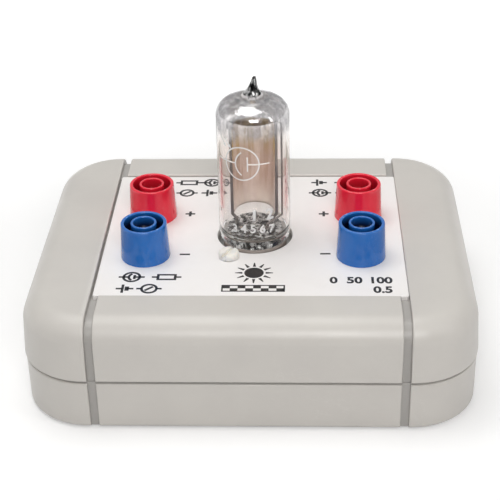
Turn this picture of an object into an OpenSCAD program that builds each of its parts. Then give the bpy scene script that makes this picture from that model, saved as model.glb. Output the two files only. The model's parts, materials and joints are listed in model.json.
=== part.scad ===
// Vacuum phototube unit: a seven-pin glass phototube plugged upright into the white panel
// of a two-shell plastic housing, with two pairs of 4 mm safety sockets.
// Millimetres. Origin: middle of the footprint, on the surface that the feet stand on.
// +Z is up, the front faces -Y.

/* [Housing] */
// Width of the housing where its shells part
housing_w = 116.5; // [110:0.5:140]
// Depth of the housing there, front to back
housing_d = 95.5; // [90:0.5:120]
// Height of the housing on its feet
housing_h = 30.7; // [29:0.1:40]
// Radius of the upright corners
corner_r = 17.5; // [15:0.5:18]
// Radius of the rounded top edge
top_r = 6.6; // [5:0.2:8]
// How far the upper shell's walls lean in, from the split up to the rounded edge
wall_lean = 0.6; // [0.2:0.1:0.8]
// Radius of the bottom edge
bottom_r = 1; // [0.6:0.1:2]
// Thickness of the side walls
wall = 3.2; // [3:0.1:3.6]
// Thickness of the floor
floor_t = 2.6; // [2.2:0.1:3]
// Thickness of the roof under the panel
roof_t = 2; // [1.6:0.1:3]
// Height of the line where the two shells part
split_z = 14.6; // [12:0.1:16]
// Height of the shadow gap below that line
shadow_h = 0.8; // [0.4:0.1:1.2]
// Depth of the shadow gap
shadow_depth = 1; // [0.6:0.1:1.4]
// How far the lower shell stands back from the upper one
lower_inset = 0.3; // [0.2:0.05:0.6]
// Radius of the lip along the top of the lower shell
lip_r = 0.4; // [0.2:0.1:0.5]
// Width of the upper shell's skirt outside the tongue
skirt_t = 2; // [1.8:0.1:2.1]
// Height of the tongue that locates the shells
tongue_h = 1.8; // [1:0.1:3]

/* [Grooves] */
// Distance from the middle to the outer wall of each groove
groove_x = 40; // [38:0.1:42]
// Width of a groove
groove_w = 2.1; // [1.5:0.1:3]
// Depth of a groove in the upper shell
groove_depth = 1.5; // [1:0.1:1.7]
// Depth of a groove in the lower shell
lower_groove_depth = 1; // [0.8:0.1:1.2]

/* [Panel] */
// Width of the panel plate
panel_w = 79.3; // [74:0.1:84]
// Depth of the panel plate, front to back
panel_d = 63.8; // [58:0.1:70]
// Thickness of the panel plate
panel_t = 1.5; // [1:0.1:2]
// How far the panel lies below the top of the housing
panel_sink = 0.45; // [0.2:0.05:0.8]
// Room between the panel and its recess, side to side
panel_side_room = 0.7; // [0.2:0.05:1.2]
// Room between the panel and its recess, front to back
panel_room = 0.6; // [0.2:0.1:1]
// Radius of the panel's corners
panel_corner_r = 0.6; // [0.3:0.1:1]

/* [Safety sockets] */
// Distance between the left and right sockets
socket_pitch_x = 56.6; // [52:0.2:58]
// Distance between the front and rear sockets
socket_pitch_y = 21.4; // [19:0.2:24]
// Distance from the panel's middle to the rear row
socket_rear_y = 9.3; // [8.6:0.1:10.6]
// Height of a socket above the panel
cap_h = 10; // [8:0.5:12]
// Diameter of a socket at its rim
cap_top_d = 12; // [11.8:0.1:12.4]
// Diameter of a socket where it meets the panel
cap_base_d = 13; // [12.6:0.1:14]
// Outer diameter of the ring-shaped well
well_d = 10.2; // [9.8:0.1:10.4]
// Depth of the well
well_depth = 8.6; // [7:0.1:9]
// Outer diameter of the inner ring
ring_d = 6.8; // [6.6:0.1:7]
// Diameter of the hole in the inner ring
ring_hole_d = 5.4; // [5.3:0.1:5.6]
// How far the contact sleeve starts below the rim
sleeve_drop = 3; // [2:0.1:4]
// Outer diameter of the contact sleeve
sleeve_d = 5; // [4.8:0.1:5.1]
// Bore of the contact sleeve
plug_d = 4; // [3.9:0.05:4.1]
// Depth of that bore
plug_depth = 19.5; // [17:0.5:20]
// Diameter of the neck below the panel
neck_d = 11.2; // [10.8:0.1:11.8]
// Length of the neck below the panel
neck_len = 14.5; // [11:0.5:15]
// Width across the flats of the ring nut
nut_af = 14; // [13.5:0.1:15]
// Thickness of the ring nut
nut_t = 4; // [3:0.1:5]

/* [Tube] */
// Outer diameter of the bulb
bulb_d = 19; // [18:0.1:19.4]
// Height of the bulb from its seat to the dome's top, without the tip
bulb_h = 41.3; // [36:0.1:46]
// Thickness of the glass
glass_t = 0.9; // [0.7:0.05:1.1]
// Height of the dome
dome_h = 5.2; // [4.8:0.1:6.5]
// Radius of the dome's shoulder
shoulder_r = 4; // [3.4:0.1:4.4]
// Radius of the bulb's lower edge
heel_r = 1.9; // [1.4:0.1:2]
// Height of the sealed tip
tip_h = 5.1; // [4:0.1:7]
// Radius of the tip where it leaves the dome
tip_foot_r = 2.7; // [2.2:0.1:3.2]
// Radius of the tip's rounded end
tip_end_r = 0.6; // [0.4:0.05:0.8]
// Radius of the glass base inside the bulb's rim
base_r = 7.4; // [7:0.1:7.5]
// Thickness of the glass base
base_t = 3; // [2.4:0.1:3.4]
// Distance of the tube's axis to the right of the panel's middle
tube_shift = 0.3; // [0:0.1:1.4]
// Distance of the tube's axis in front of the panel's middle
tube_front = 1.3; // [0:0.1:1.6]
// How far the tube's seat lies below the panel's face
seat_drop = 0.25; // [0:0.05:0.8]
// Diameter of the pin circle
pin_circle_d = 9.53; // [9.4:0.01:9.6]
// Diameter of a pin
pin_d = 1.02; // [0.96:0.02:1.08]
// Length of a pin below the glass
pin_len = 6.4; // [5.6:0.1:7]

/* [Electrodes] */
// Outer radius of the half-round cathode
cathode_r = 5.5; // [4.8:0.1:5.8]
// Thickness of the cathode sheet
cathode_t = 0.25; // [0.2:0.05:0.4]
// Height of the cathode's lower edge above the seat
cathode_z = 7.4; // [6:0.1:8]
// Distance from the cathode's upper edge to the start of the dome
cathode_gap = 3.5; // [2.6:0.1:8]
// Diameter of the two support rods
rod_d = 0.8; // [0.6:0.1:1]
// Diameter of the anode wire
anode_d = 0.5; // [0.4:0.1:0.7]
// Room between the anode wire and the glass at its right
anode_gap = 1.05; // [0.5:0.05:1.3]
// Distance of the anode wire in front of the tube's axis
anode_y = 1.5; // [1.2:0.1:2.4]

/* [Tube socket] */
// Diameter of the tube socket above the saddle
holder_d = 17; // [16.4:0.1:18]
// Diameter of the flange below the saddle
holder_flange_d = 19.4; // [18.8:0.1:20]
// Height of the tube socket
holder_h = 10.2; // [9.6:0.1:11]
// Room between the bulb and the edge of the hole round it
tube_room = 0.6; // [0.5:0.1:1.6]
// Thickness of the metal saddle
saddle_t = 1; // [0.8:0.1:1.4]
// Distance between the two nylon screws
saddle_pitch = 26.8; // [26.6:0.1:30]
// Direction of the line through the nylon screws, from +X
saddle_angle = 61; // [55:0.5:65]
// Outer radius of a tube contact
contact_r = 1.05; // [0.95:0.05:1.15]

/* [Fasteners and feet] */
// Thread diameter of the nylon screws
nylon_d = 3; // [2.8:0.1:3.2]
// Head diameter of the nylon screws
nylon_head_d = 5.4; // [5.2:0.1:5.6]
// Head height of the nylon screws
nylon_head_h = 1.9; // [1.6:0.1:2.2]
// Length of the nylon screws below the head
nylon_len = 10; // [9:0.5:12]
// Distance of a housing screw from the middle of the corner radius
boss_shift = 6; // [5:0.1:6.5]
// Radius of a screw boss
boss_r = 3.5; // [3.2:0.1:3.6]
// Thread diameter of a housing screw
screw_d = 3; // [2.8:0.1:3.2]
// Head diameter of a housing screw
screw_head_d = 5.6; // [5.4:0.1:5.8]
// Head height of a housing screw
screw_head_h = 2; // [1.8:0.1:2.4]
// Length of a housing screw below the head
screw_len = 16; // [14:0.5:18]
// Diameter of a rubber foot
foot_d = 9; // [8:0.1:10]
// Thickness of a rubber foot
foot_t = 1.5; // [1.2:0.1:1.8]
// How far a foot stands proud of the housing
foot_proud = 0.4; // [0.2:0.1:0.8]
// Distance between the feet, front to back
foot_pitch_y = 40; // [34:1:44]

/* [Wiring] */
// Diameter of the hook-up wires
wire_d = 1.2; // [1:0.1:1.3]
// Diameter of the load resistor
resistor_d = 3.4; // [2.4:0.1:3.8]
// Length of the load resistor's body
resistor_len = 9; // [7:0.5:11]
// Diameter of the load resistor's leads
lead_d = 0.7; // [0.6:0.1:0.8]

/* [Hidden] */
// Every fit and running clearance in one place
fit_gap = 0.1;     // radial gap between pieces that slide together
press_gap = 0.02;  // radial gap of pieces that hold by friction or by a glass seal
hole_gap = 0.2;    // radial gap round a fastener or a socket neck
eps = 0.01;        // overlap that keeps a cut clear of the face it starts from
$fn = 96;

// Levels
shell_bottom = foot_proud;
floor_z = shell_bottom + floor_t;
panel_top = housing_h - panel_sink;
panel_bottom = panel_top - panel_t;
ceiling_z = panel_bottom - roof_t;
lip_z = split_z - shadow_h;
boss_z = split_z + 0.4;                      // the screw columns end a little above the split
ledge = 0.4;                                 // a groove in the lower shell is this much deeper at its top
rib_t = 1.2;
rib_top = floor_z + 1.6;
rib_x = 18;

// Panel and recess
recess_w = panel_w + panel_side_room;
recess_d = panel_d + panel_room;
recess_y = -0.55;                            // the recess lies a little in front of the middle
side_gap = 0.05;                             // the plate lies this close to the right-hand wall
panel_x = recess_w / 2 - side_gap - panel_w / 2;
panel_y = recess_y - 0.05;

// Tube and its socket
tube_x = panel_x + tube_shift;
tube_y = panel_y - tube_front;
seat_z = panel_top - seat_drop;
bulb_r = bulb_d / 2;
wall_top_z = seat_z + bulb_h - dome_h;
pin_r = pin_circle_d / 2;
pin_angles = [for (k = [1:7]) -90 + 45 * k]; // seven pins, with the gap at the front
base_top_z = seat_z + base_t;
bead_h = 0.7;                                // low glass bead round each pin
pin_top = base_top_z + 1.6;
cathode_bottom = seat_z + cathode_z;
cathode_top = wall_top_z - cathode_gap;
rod_x = cathode_r + rod_d / 2 + press_gap;   // the cathode's edges are welded to the two rods
anode_x = bulb_r - glass_t - anode_gap - anode_d / 2;
tube_hole_d = bulb_d + 2 * tube_room;
holder_bottom = seat_z - holder_h;
holder_flange_z = ceiling_z - saddle_t;
holder_flange_t = 2;
guide_t = 0.8;                               // plastic left above each contact
contact_top = seat_z - guide_t;
contact_len = 7;
contact_bottom = contact_top - contact_len;
tail_w = 2.4;
tail_t = 0.4;
tail_neck_w = 1.4;
tail_bottom = holder_bottom - 6;
tail_hole_z = tail_bottom + 1.4;
spigot_r = 1.6;
spigot_wall = 0.4;
spigot_bottom = holder_bottom - 3;
nylon_nut_t = 2.4;
nylon_nut_af = 5.5;
saddle_ear_d = 7;

// Safety sockets
rim_z = panel_top + cap_h;
neck_bottom = panel_top - neck_len;
sleeve_top = rim_z - sleeve_drop;
bore_bottom = sleeve_top - plug_depth;
end_d = neck_d - 2.4;                        // the body is thinner below its thread
collar_top = neck_bottom - 1.6;
collar_h = 1.2;
collar_d = sleeve_d + 2;
lug_w = 3.6;
lug_t = 0.8;
lug_top = collar_top - collar_h;
lug_bottom = lug_top - 5.4;
lead_z = lug_top - 1.5;                      // upper hole, for a resistor lead
wire_z = lug_top - 4;                        // lower hole, for a hook-up wire
lug_hole_r = wire_d / 2 + fit_gap;
socket_mid_x = panel_x + 0.1;
socket_rear = panel_y + socket_rear_y;
socket_front = socket_rear - socket_pitch_y;
left_x = socket_mid_x - socket_pitch_x / 2;
right_x = socket_mid_x + socket_pitch_x / 2;

// Screws and feet
boss_x = housing_w / 2 - corner_r + boss_shift;
boss_y = housing_d / 2 - corner_r + boss_shift;
screw_seat_z = shell_bottom + screw_head_h + 0.6;
column_r = screw_head_d / 2 + hole_gap + 1.3; // the columns are wider round the sunk heads
column_top = screw_seat_z + 2;
cross_w = 3;
cross_t = 0.7;
cross_depth = 1.2;
foot_x = housing_w / 2 - 11;

// Wiring
wire_end = 1.6;                              // how far a wire reaches past its hole
wire_lead = 4;                               // straight stretch behind each hole
wire_run = 8;
wire_bend = 2;

// Saddle
saddle_r = saddle_pitch / 2;

// Flat outline with four round corners
module plate2d(w, d, r) {
    square([w - 2 * r, d], center = true);
    square([w, d - 2 * r], center = true);
    for (sx = [-1, 1], sy = [-1, 1])
        translate([sx * (w / 2 - r), sy * (d / 2 - r)]) circle(r);
}

// Half section of a slab f high whose outer top edge is rounded by f, reaching out to reach
module edge2d(reach, f) {
    square([reach - f, f]);
    intersection() {
        translate([reach - f, 0]) circle(f);
        translate([reach - f, 0]) square(f);
    }
}

// The same with a side low high below it, which leans out by lean to reach at its foot
module side2d(reach, f, low, lean) {
    edge2d(reach - lean, f);
    polygon([[0, -low], [reach, -low], [reach - lean, 0], [0, 0]]);
}

// Block from z0 to z1 with round plan corners, its top edge rounded by f and its sides leaning in
// by lean up to there. Sides and corners share one section, so that they meet exactly at any size.
module rounded_block(w, d, z0, z1, r, f, lean = 0) {
    low = z1 - f - z0;
    half_w = w / 2 - r;
    half_d = d / 2 - r;
    translate([-half_w, -half_d, z0]) cube([2 * half_w, 2 * half_d, z1 - z0]);
    translate([0, 0, z1 - f]) {
        for (turn = [0, 180]) rotate([0, 0, turn]) {
            rotate([90, 0, 90]) translate([half_d, 0, -half_w])
                linear_extrude(2 * half_w) side2d(r, f, low, lean);
            rotate([90, 0, 0]) translate([half_w, 0, -half_d])
                linear_extrude(2 * half_d) side2d(r, f, low, lean);
            translate([half_w, half_d, 0]) rotate_extrude(angle = 90) side2d(r, f, low, lean);
            translate([-half_w, half_d, 0]) rotate([0, 0, 90]) rotate_extrude(angle = 90)
                side2d(r, f, low, lean);
        }
    }
}

// Draws its child at the left-hand wall of each of the two grooves
module groove_pair() {
    for (side = [-1, 1])
        translate([side * (groove_x - groove_w / 2) - groove_w / 2, 0, 0]) children();
}

// Draws its child in all four corners
module at_corners(x, y) {
    for (sx = [-1, 1], sy = [-1, 1]) translate([sx * x, sy * y, 0]) children();
}

module at_tube() {
    translate([tube_x, tube_y, 0]) children();
}

module at_saddle_screws() {
    for (side = [-1, 1])
        at_tube() rotate([0, 0, saddle_angle]) translate([side * saddle_r, 0, 0]) children();
}

module at_sockets() {
    for (x = [left_x, right_x], y = [socket_front, socket_rear]) translate([x, y, 0]) children();
}

// Cutter for a round hole from z0 to z1
module hole(d, z0, z1) {
    translate([0, 0, z0 - eps]) cylinder(h = z1 - z0 + 2 * eps, d = d);
}

// Upper shell: rounded top edge, recess for the panel, two grooves over the top and down both faces
module upper_shell() color("gainsboro") {
    inner_r = corner_r - wall;
    difference() {
        rounded_block(housing_w, housing_d, split_z, housing_h, corner_r, top_r, wall_lean);
        difference() {
            union() {
                rounded_block(housing_w - 2 * wall, housing_d - 2 * wall, split_z - 1, ceiling_z,
                    inner_r, top_r - wall, wall_lean);
                translate([0, 0, split_z - 1]) linear_extrude(1 + tongue_h + fit_gap)
                    plate2d(housing_w - 2 * skirt_t, housing_d - 2 * skirt_t, corner_r - skirt_t);
            }
            at_corners(boss_x, boss_y) translate([0, 0, boss_z])
                cylinder(h = housing_h - boss_z, r = boss_r);
        }
        groove_pair() rotate([90, 0, 90]) linear_extrude(groove_w) difference() {
            translate([-housing_d, split_z - 1]) square([2 * housing_d, housing_h]);
            groove_floor2d();
        }
        translate([-recess_w / 2, recess_y - recess_d / 2, panel_bottom])
            cube([recess_w, recess_d, housing_h]);
        at_sockets() hole(neck_d + 2 * hole_gap, ceiling_z, panel_bottom);
        at_tube() hole(tube_hole_d, ceiling_z, panel_bottom);
        at_saddle_screws() hole(nylon_d + 2 * hole_gap, ceiling_z, panel_bottom);
        at_corners(boss_x, boss_y) hole(screw_d + fit_gap, boss_z, floor_z + screw_len);
    }
}

// Section that the grooves leave standing in the upper shell
module groove_floor2d() {
    half = housing_d / 2 - groove_depth;
    low = housing_h - top_r - split_z;
    translate([0, housing_h - top_r]) for (side = [0, 1])
        mirror([side, 0]) side2d(half, top_r - groove_depth, low, wall_lean);
    translate([-half, 0]) square([2 * half, split_z]);
}

// Section that the grooves leave standing in the lower shell, with a ledge along its top
module lower_groove_floor2d() {
    half = housing_d / 2 - lower_inset - lower_groove_depth;
    neck = half - ledge;
    for (side = [0, 1]) mirror([side, 0]) {
        translate([0, lip_z - lip_r]) side2d(half, lip_r, lip_z, 0);
        square([neck, housing_h]);
    }
}

// Lower shell: floor, tongue, shadow gap, screw columns, foot seats and floor ribs
module lower_shell() color("lightgray") difference() {
    union() {
        lower_w = housing_w - 2 * lower_inset;
        lower_d = housing_d - 2 * lower_inset;
        lower_r = corner_r - lower_inset;
        middle_z = (shell_bottom + lip_z) / 2;
        rounded_block(lower_w, lower_d, middle_z, lip_z, lower_r, lip_r);
        mirror([0, 0, 1]) rounded_block(lower_w, lower_d, -middle_z, -shell_bottom, lower_r, bottom_r);
        translate([0, 0, lip_z - lip_r]) linear_extrude(shadow_h + lip_r)
            plate2d(housing_w - 2 * shadow_depth, housing_d - 2 * shadow_depth, corner_r - shadow_depth);
        tongue_in = skirt_t + fit_gap;
        translate([0, 0, lip_z]) linear_extrude(shadow_h + tongue_h)
            plate2d(housing_w - 2 * tongue_in, housing_d - 2 * tongue_in, corner_r - tongue_in);
    }
    difference() {
        translate([0, 0, floor_z]) linear_extrude(housing_h)
            plate2d(housing_w - 2 * wall, housing_d - 2 * wall, corner_r - wall);
        at_corners(boss_x, boss_y) {
            cylinder(h = boss_z, r = boss_r);
            cylinder(h = column_top, r = column_r);
        }
        for (x = [-rib_x, rib_x]) translate([x - rib_t / 2, -housing_d / 2, 0])
            cube([rib_t, housing_d, rib_top]);
        translate([-housing_w / 2, -rib_t / 2, 0]) cube([housing_w, rib_t, rib_top]);
    }
    groove_pair() rotate([90, 0, 90]) linear_extrude(groove_w) difference() {
        translate([-housing_d, 0]) square([2 * housing_d, housing_h - 1]);
        lower_groove_floor2d();
    }
    at_corners(boss_x, boss_y) {
        hole(screw_d + 2 * hole_gap, shell_bottom, boss_z);
        hole(screw_head_d + 2 * hole_gap, shell_bottom, screw_seat_z);
    }
    at_corners(foot_x, foot_pitch_y / 2) hole(foot_d + 2 * fit_gap, shell_bottom, foot_t);
}

// White plate in the recess, with holes for the sockets, the tube and the nylon screws
module panel_plate() color("white") difference() {
    translate([panel_x, panel_y, panel_bottom]) linear_extrude(panel_t)
        plate2d(panel_w, panel_d, panel_corner_r);
    at_sockets() hole(neck_d + 2 * fit_gap, panel_bottom, panel_top);
    at_tube() hole(tube_hole_d, panel_bottom, panel_top);
    at_saddle_screws() hole(nylon_d + 2 * fit_gap, panel_bottom, panel_top);
}

// Insulating body of a safety socket: tapered cap, ring-shaped well, inner ring, neck under the panel
module socket_body(shade, x, y) color(shade) translate([x, y, 0]) difference() {
    rim_r = cap_top_d / 2;
    edge = 0.3;
    union() {
        rotate_extrude() {
            polygon([[0, panel_top], [cap_base_d / 2, panel_top], [rim_r, rim_z - edge],
                [rim_r - edge, rim_z], [0, rim_z]]);
        }
        translate([0, 0, neck_bottom]) cylinder(h = neck_len, d = neck_d);
        translate([0, 0, collar_top]) cylinder(h = neck_bottom - collar_top, d = end_d);
    }
    translate([0, 0, rim_z - well_depth]) difference() {
        cylinder(h = well_depth + 1, d = well_d);
        translate([0, 0, -eps]) cylinder(h = well_depth + 2, d = ring_d);
    }
    hole(ring_hole_d, sleeve_top, rim_z);
    hole(sleeve_d + 2 * press_gap, collar_top, rim_z);
}

// Plated contact sleeve with its collar and a solder lug with two holes
module socket_sleeve(x, y) color("goldenrod") translate([x, y, 0]) {
    difference() {
        union() {
            translate([0, 0, lug_top]) cylinder(h = sleeve_top - lug_top, d = sleeve_d);
            translate([0, 0, lug_top]) cylinder(h = collar_h, d = collar_d);
            translate([-lug_w / 2, -lug_t / 2, lug_bottom])
                cube([lug_w, lug_t, lug_top - lug_bottom + eps]);
        }
        hole(plug_d, bore_bottom, sleeve_top);
        for (z = [lead_z, wire_z])
            translate([0, 0, z]) rotate([90, 0, 0])
                cylinder(h = 2 * lug_t, r = lug_hole_r, center = true);
    }
}

// Hexagonal nut that clamps a socket against the roof
module socket_nut(x, y) color("silver") translate([x, y, ceiling_z - nut_t]) difference() {
    cylinder(h = nut_t, d = nut_af / cos(30), $fn = 6);
    hole(neck_d + 2 * fit_gap, 0, nut_t);
}

// Half section of the bulb, g inside its outer face: straight wall, shoulder arc, crown arc
module bulb2d(g, z0) {
    c = bulb_r - shoulder_r;
    crown_r = (c * c + dome_h * dome_h - shoulder_r * shoulder_r) / (2 * (dome_h - shoulder_r));
    meet = (crown_r - g) * c / (crown_r - shoulder_r);
    translate([0, z0]) square([bulb_r - g, wall_top_z - z0]);
    intersection() {
        translate([0, wall_top_z + dome_h - crown_r]) circle(crown_r - g);
        translate([0, wall_top_z]) square([meet, dome_h]);
    }
    intersection() {
        translate([c, wall_top_z]) circle(shoulder_r - g);
        translate([meet, wall_top_z]) square([bulb_r - meet, dome_h]);
    }
}

// Half section of the sealed tip: a concave flank between the dome and a rounded end
module tip2d() {
    flank_r = 14;
    rise = tip_h - tip_end_r;
    run = tip_foot_r - tip_end_r;
    chord = sqrt(rise * rise + run * run);
    out = sqrt(flank_r * flank_r - chord * chord / 4);
    foot_z = wall_top_z + dome_h;
    flank_x = (tip_foot_r + tip_end_r) / 2 + out * rise / chord;
    flank_z = foot_z + rise / 2 + out * run / chord;
    difference() {
        translate([0, foot_z - 1]) square([tip_foot_r, rise + 1]);
        translate([flank_x, flank_z]) circle(flank_r, $fn = 360);
    }
    intersection() {
        translate([0, foot_z + rise]) circle(tip_end_r);
        translate([0, foot_z + rise - tip_end_r]) square([tip_end_r, 2 * tip_end_r]);
    }
}

// Half section of the narrow funnel that runs up inside the tip
module funnel2d() {
    dome_top = wall_top_z + dome_h;
    polygon([[0, base_top_z], [1.5, dome_top - 1.4], [0.5, dome_top + 2.2], [0, dome_top + 2.6]]);
}

// Blown bulb with its sealed tip; the lower edge is turned in to the glass base
module glass_bulb() color("lightcyan", 0.4) at_tube() rotate_extrude() difference() {
    union() {
        bulb2d(0, seat_z + heel_r);
        translate([0, seat_z]) square([bulb_r - heel_r, heel_r + eps]);
        intersection() {
            translate([bulb_r - heel_r, seat_z + heel_r]) circle(heel_r);
            translate([bulb_r - heel_r, seat_z]) square(heel_r);
        }
        tip2d();
    }
    bulb2d(glass_t, base_top_z);
    translate([0, seat_z - 1]) square([base_r, base_t + 1 + eps]);
    funnel2d();
}

// Pressed glass base with a low bead round each of the seven pins
module glass_base() color("lightcyan", 0.6) at_tube() difference() {
    union() {
        translate([0, 0, seat_z]) cylinder(h = base_t, r = base_r - press_gap);
        for (a = pin_angles) rotate([0, 0, a]) translate([pin_r, 0, base_top_z - eps])
            cylinder(h = bead_h, r1 = 1.1, r2 = 0.8);
    }
    for (a = pin_angles) rotate([0, 0, a]) translate([pin_r, 0, 0])
        hole(pin_d + 2 * press_gap, seat_z, base_top_z + 1);
}

// One base pin: round end below, thick lead through the glass
module base_pin(k) color("silver") at_tube() rotate([0, 0, pin_angles[k - 1]]) {
    low = seat_z - pin_len + pin_d / 2;
    translate([pin_r, 0, low]) {
        cylinder(h = pin_top - low, d = pin_d);
        sphere(d = pin_d);
    }
}

// Half-round sheet cathode, open to the front
module cathode_plate() color("tan") at_tube() translate([0, 0, cathode_bottom])
    rotate_extrude(angle = 180) translate([cathode_r - cathode_t, 0])
        square([cathode_t, cathode_top - cathode_bottom]);

function unit(v) = v / norm(v);

// Route with each corner rounded by a parabola that starts r before it
function rounded_route(points, r) = concat([points[0]],
    [for (k = [1:len(points) - 2])
        let (back = unit(points[k - 1] - points[k]), ahead = unit(points[k + 1] - points[k]))
        for (t = [0:0.25:1]) points[k] + r * (pow(1 - t, 2) * back + t * t * ahead)],
    [points[len(points) - 1]]);

// Round wire swept along a route; across is a direction that the route never runs along
module wire(points, d, bend_r, across) {
    sides = 10;
    path = rounded_route(points, bend_r);
    last = len(path) - 1;
    rings = [for (k = [0:last])
        let (along = unit(path[min(k + 1, last)] - path[max(k - 1, 0)]))
        let (u = unit(cross(across, along)), v = cross(along, u))
        for (s = [0:sides - 1]) path[k] + d / 2 * (cos(360 * s / sides) * u + sin(360 * s / sides) * v)];
    skin = [for (k = [0:last - 1], s = [0:sides - 1])
        let (a = k * sides + s, b = k * sides + (s + 1) % sides)
        each [[a, a + sides, b], [b, a + sides, b + sides]]];
    caps = [[for (s = [0:sides - 1]) s], [for (s = [sides - 1:-1:0]) last * sides + s]];
    polyhedron(rings, concat(skin, caps), convexity = 6);
}

// Support rod: stands on its pin, steps out and runs up behind the cathode's edge
module cathode_rod(side) color("dimgray") at_tube()
    wire([[side * pin_r, 0, pin_top], [side * pin_r, 0, pin_top + 0.8],
        [side * rod_x, 0, cathode_bottom - 0.6], [side * rod_x, 0, cathode_top + 1.2]],
        rod_d, 0.4, [0, 1, 0]);

// Anode wire: from the front right pin up beside the cathode, with a hook at its top
module anode_wire() color("dimgray") at_tube() {
    foot = [pin_r * cos(45), -pin_r * sin(45), pin_top];
    top = cathode_top + 1.4;
    wire([foot, foot + [0, 0, 0.9], [anode_x, -anode_y, cathode_bottom], [anode_x, -anode_y, top],
        [anode_x - 1.1, -anode_y, top + 0.5]], anode_d, 0.4, [0, 1, 0]);
}

// Small getter flag welded to the top of the left rod
module getter_flag() color("dimgray") at_tube() {
    flag_w = 1.6;
    flag_t = 0.2;
    flag_h = 2;
    translate([-rod_x - flag_w / 2, -rod_d / 2 - flag_t, cathode_top - 0.6])
        cube([flag_w, flag_t, flag_h]);
}

// Moulded tube socket: guide holes above, a chamber for each contact
module tube_socket_body() color("saddlebrown") at_tube() difference() {
    bevel = 0.6;
    union() {
        translate([0, 0, holder_bottom]) cylinder(h = holder_h - bevel, d = holder_d);
        translate([0, 0, seat_z - bevel]) cylinder(h = bevel, d1 = holder_d, d2 = holder_d - 2 * bevel);
        translate([0, 0, holder_flange_z - holder_flange_t])
            cylinder(h = holder_flange_t, d = holder_flange_d);
    }
    for (a = pin_angles) rotate([0, 0, a]) translate([pin_r, 0, 0]) {
        hole(pin_d + 2 * fit_gap, contact_top, seat_z);
        hole(2 * (contact_r + fit_gap), holder_bottom, contact_top);
    }
    hole(2 * (spigot_r + press_gap), holder_bottom, seat_z);
}

// Metal saddle that clamps the tube socket under the roof
module tube_socket_saddle() color("silver") at_tube() translate([0, 0, holder_flange_z]) difference() {
    linear_extrude(saddle_t) rotate(saddle_angle) {
        circle(d = holder_d + 5);
        square([saddle_pitch, saddle_ear_d], center = true);
        for (side = [-1, 1]) translate([side * saddle_r, 0]) circle(d = saddle_ear_d);
    }
    hole(holder_d + 2 * fit_gap, 0, saddle_t);
    rotate([0, 0, saddle_angle]) for (side = [-1, 1])
        translate([side * saddle_r, 0, 0]) hole(nylon_d + 2 * hole_gap, 0, saddle_t);
}

// Centre tube of the tube socket
module tube_socket_spigot() color("silver") at_tube() difference() {
    translate([0, 0, spigot_bottom]) cylinder(h = seat_z - 0.6 - spigot_bottom, r = spigot_r);
    hole(2 * (spigot_r - spigot_wall), spigot_bottom, seat_z);
}

// One tube contact: sleeve round the pin and a flat solder tail with a hole
module tube_contact(k) color("khaki") at_tube() rotate([0, 0, pin_angles[k - 1]]) translate([pin_r, 0, 0])
    difference() {
        union() {
            translate([0, 0, contact_bottom]) cylinder(h = contact_len, r = contact_r);
            translate([0, -contact_r, contact_bottom - 1]) cube([tail_t, 2 * contact_r, 1.5]);
            translate([0, -tail_w / 2, tail_bottom])
                cube([tail_t, tail_w, holder_bottom - tail_t - tail_bottom]);
            translate([0, -tail_neck_w / 2, tail_bottom])
                cube([tail_t, tail_neck_w, contact_bottom - tail_bottom]);
        }
        hole(pin_d + 2 * press_gap, seat_z - pin_len - 0.4, contact_top);
        translate([0, 0, tail_hole_z]) rotate([0, 90, 0])
            cylinder(h = 4 * tail_t, d = wire_d + 2 * fit_gap, center = true);
    }

// Slotted pan-head nylon screw and its nut
module nylon_screw(side) color("ivory", 0.8) at_tube() rotate([0, 0, saddle_angle])
    translate([side * saddle_r, 0, panel_top]) difference() {
        edge = 0.8;
        slot_w = 0.8;
        slot_depth = 0.7;
        union() {
            rotate_extrude() {
                square([nylon_head_d / 2, nylon_head_h - edge]);
                translate([0, nylon_head_h - edge]) edge2d(nylon_head_d / 2, edge);
            }
            translate([0, 0, -nylon_len]) cylinder(h = nylon_len, d = nylon_d);
        }
        translate([-nylon_head_d, -slot_w / 2, nylon_head_h - slot_depth])
            cube([2 * nylon_head_d, slot_w, nylon_head_h]);
    }

module nylon_nut(side) color("ivory", 0.8) at_tube() rotate([0, 0, saddle_angle])
    translate([side * saddle_r, 0, holder_flange_z - nylon_nut_t]) difference() {
        cylinder(h = nylon_nut_t, d = nylon_nut_af / cos(30), $fn = 6);
        hole(nylon_d + 2 * press_gap, 0, nylon_nut_t);
    }

// Cross-recessed housing screw, driven up from below
module housing_screw(sx, sy) color("silver") translate([sx * boss_x, sy * boss_y, screw_seat_z])
    difference() {
        edge = 0.7;
        union() {
            cylinder(h = screw_len, d = screw_d);
            mirror([0, 0, 1]) rotate_extrude() {
                square([screw_head_d / 2, screw_head_h - edge]);
                translate([0, screw_head_h - edge]) edge2d(screw_head_d / 2, edge);
            }
        }
        for (a = [0, 90]) rotate([0, 0, a]) translate([-cross_w / 2, -cross_t / 2, -screw_head_h - eps])
            cube([cross_w, cross_t, cross_depth]);
    }

// Round rubber foot in its seat
module foot(sx, sy) color("dimgray") translate([sx * foot_x, sy * foot_pitch_y / 2, 0]) {
    edge = 0.3;
    translate([0, 0, edge]) mirror([0, 0, 1]) rotate_extrude() edge2d(foot_d / 2, edge);
    translate([0, 0, edge]) cylinder(h = foot_t - edge, d = foot_d);
}

// Load resistor between the lugs of the left pair
module load_resistor() color("tan") {
    mid = (socket_front + socket_rear) / 2;
    lead_len = socket_pitch_y + 2.4;
    cap_len = 2.4;
    translate([left_x, mid, lead_z]) rotate([90, 0, 0]) {
        cylinder(h = lead_len, d = lead_d, center = true);
        cylinder(h = resistor_len - cap_len, d = resistor_d - 0.5, center = true);
        for (side = [-1, 1]) translate([0, 0, side * (resistor_len - cap_len) / 2])
            cylinder(h = cap_len, d = resistor_d, center = true);
    }
}

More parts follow.
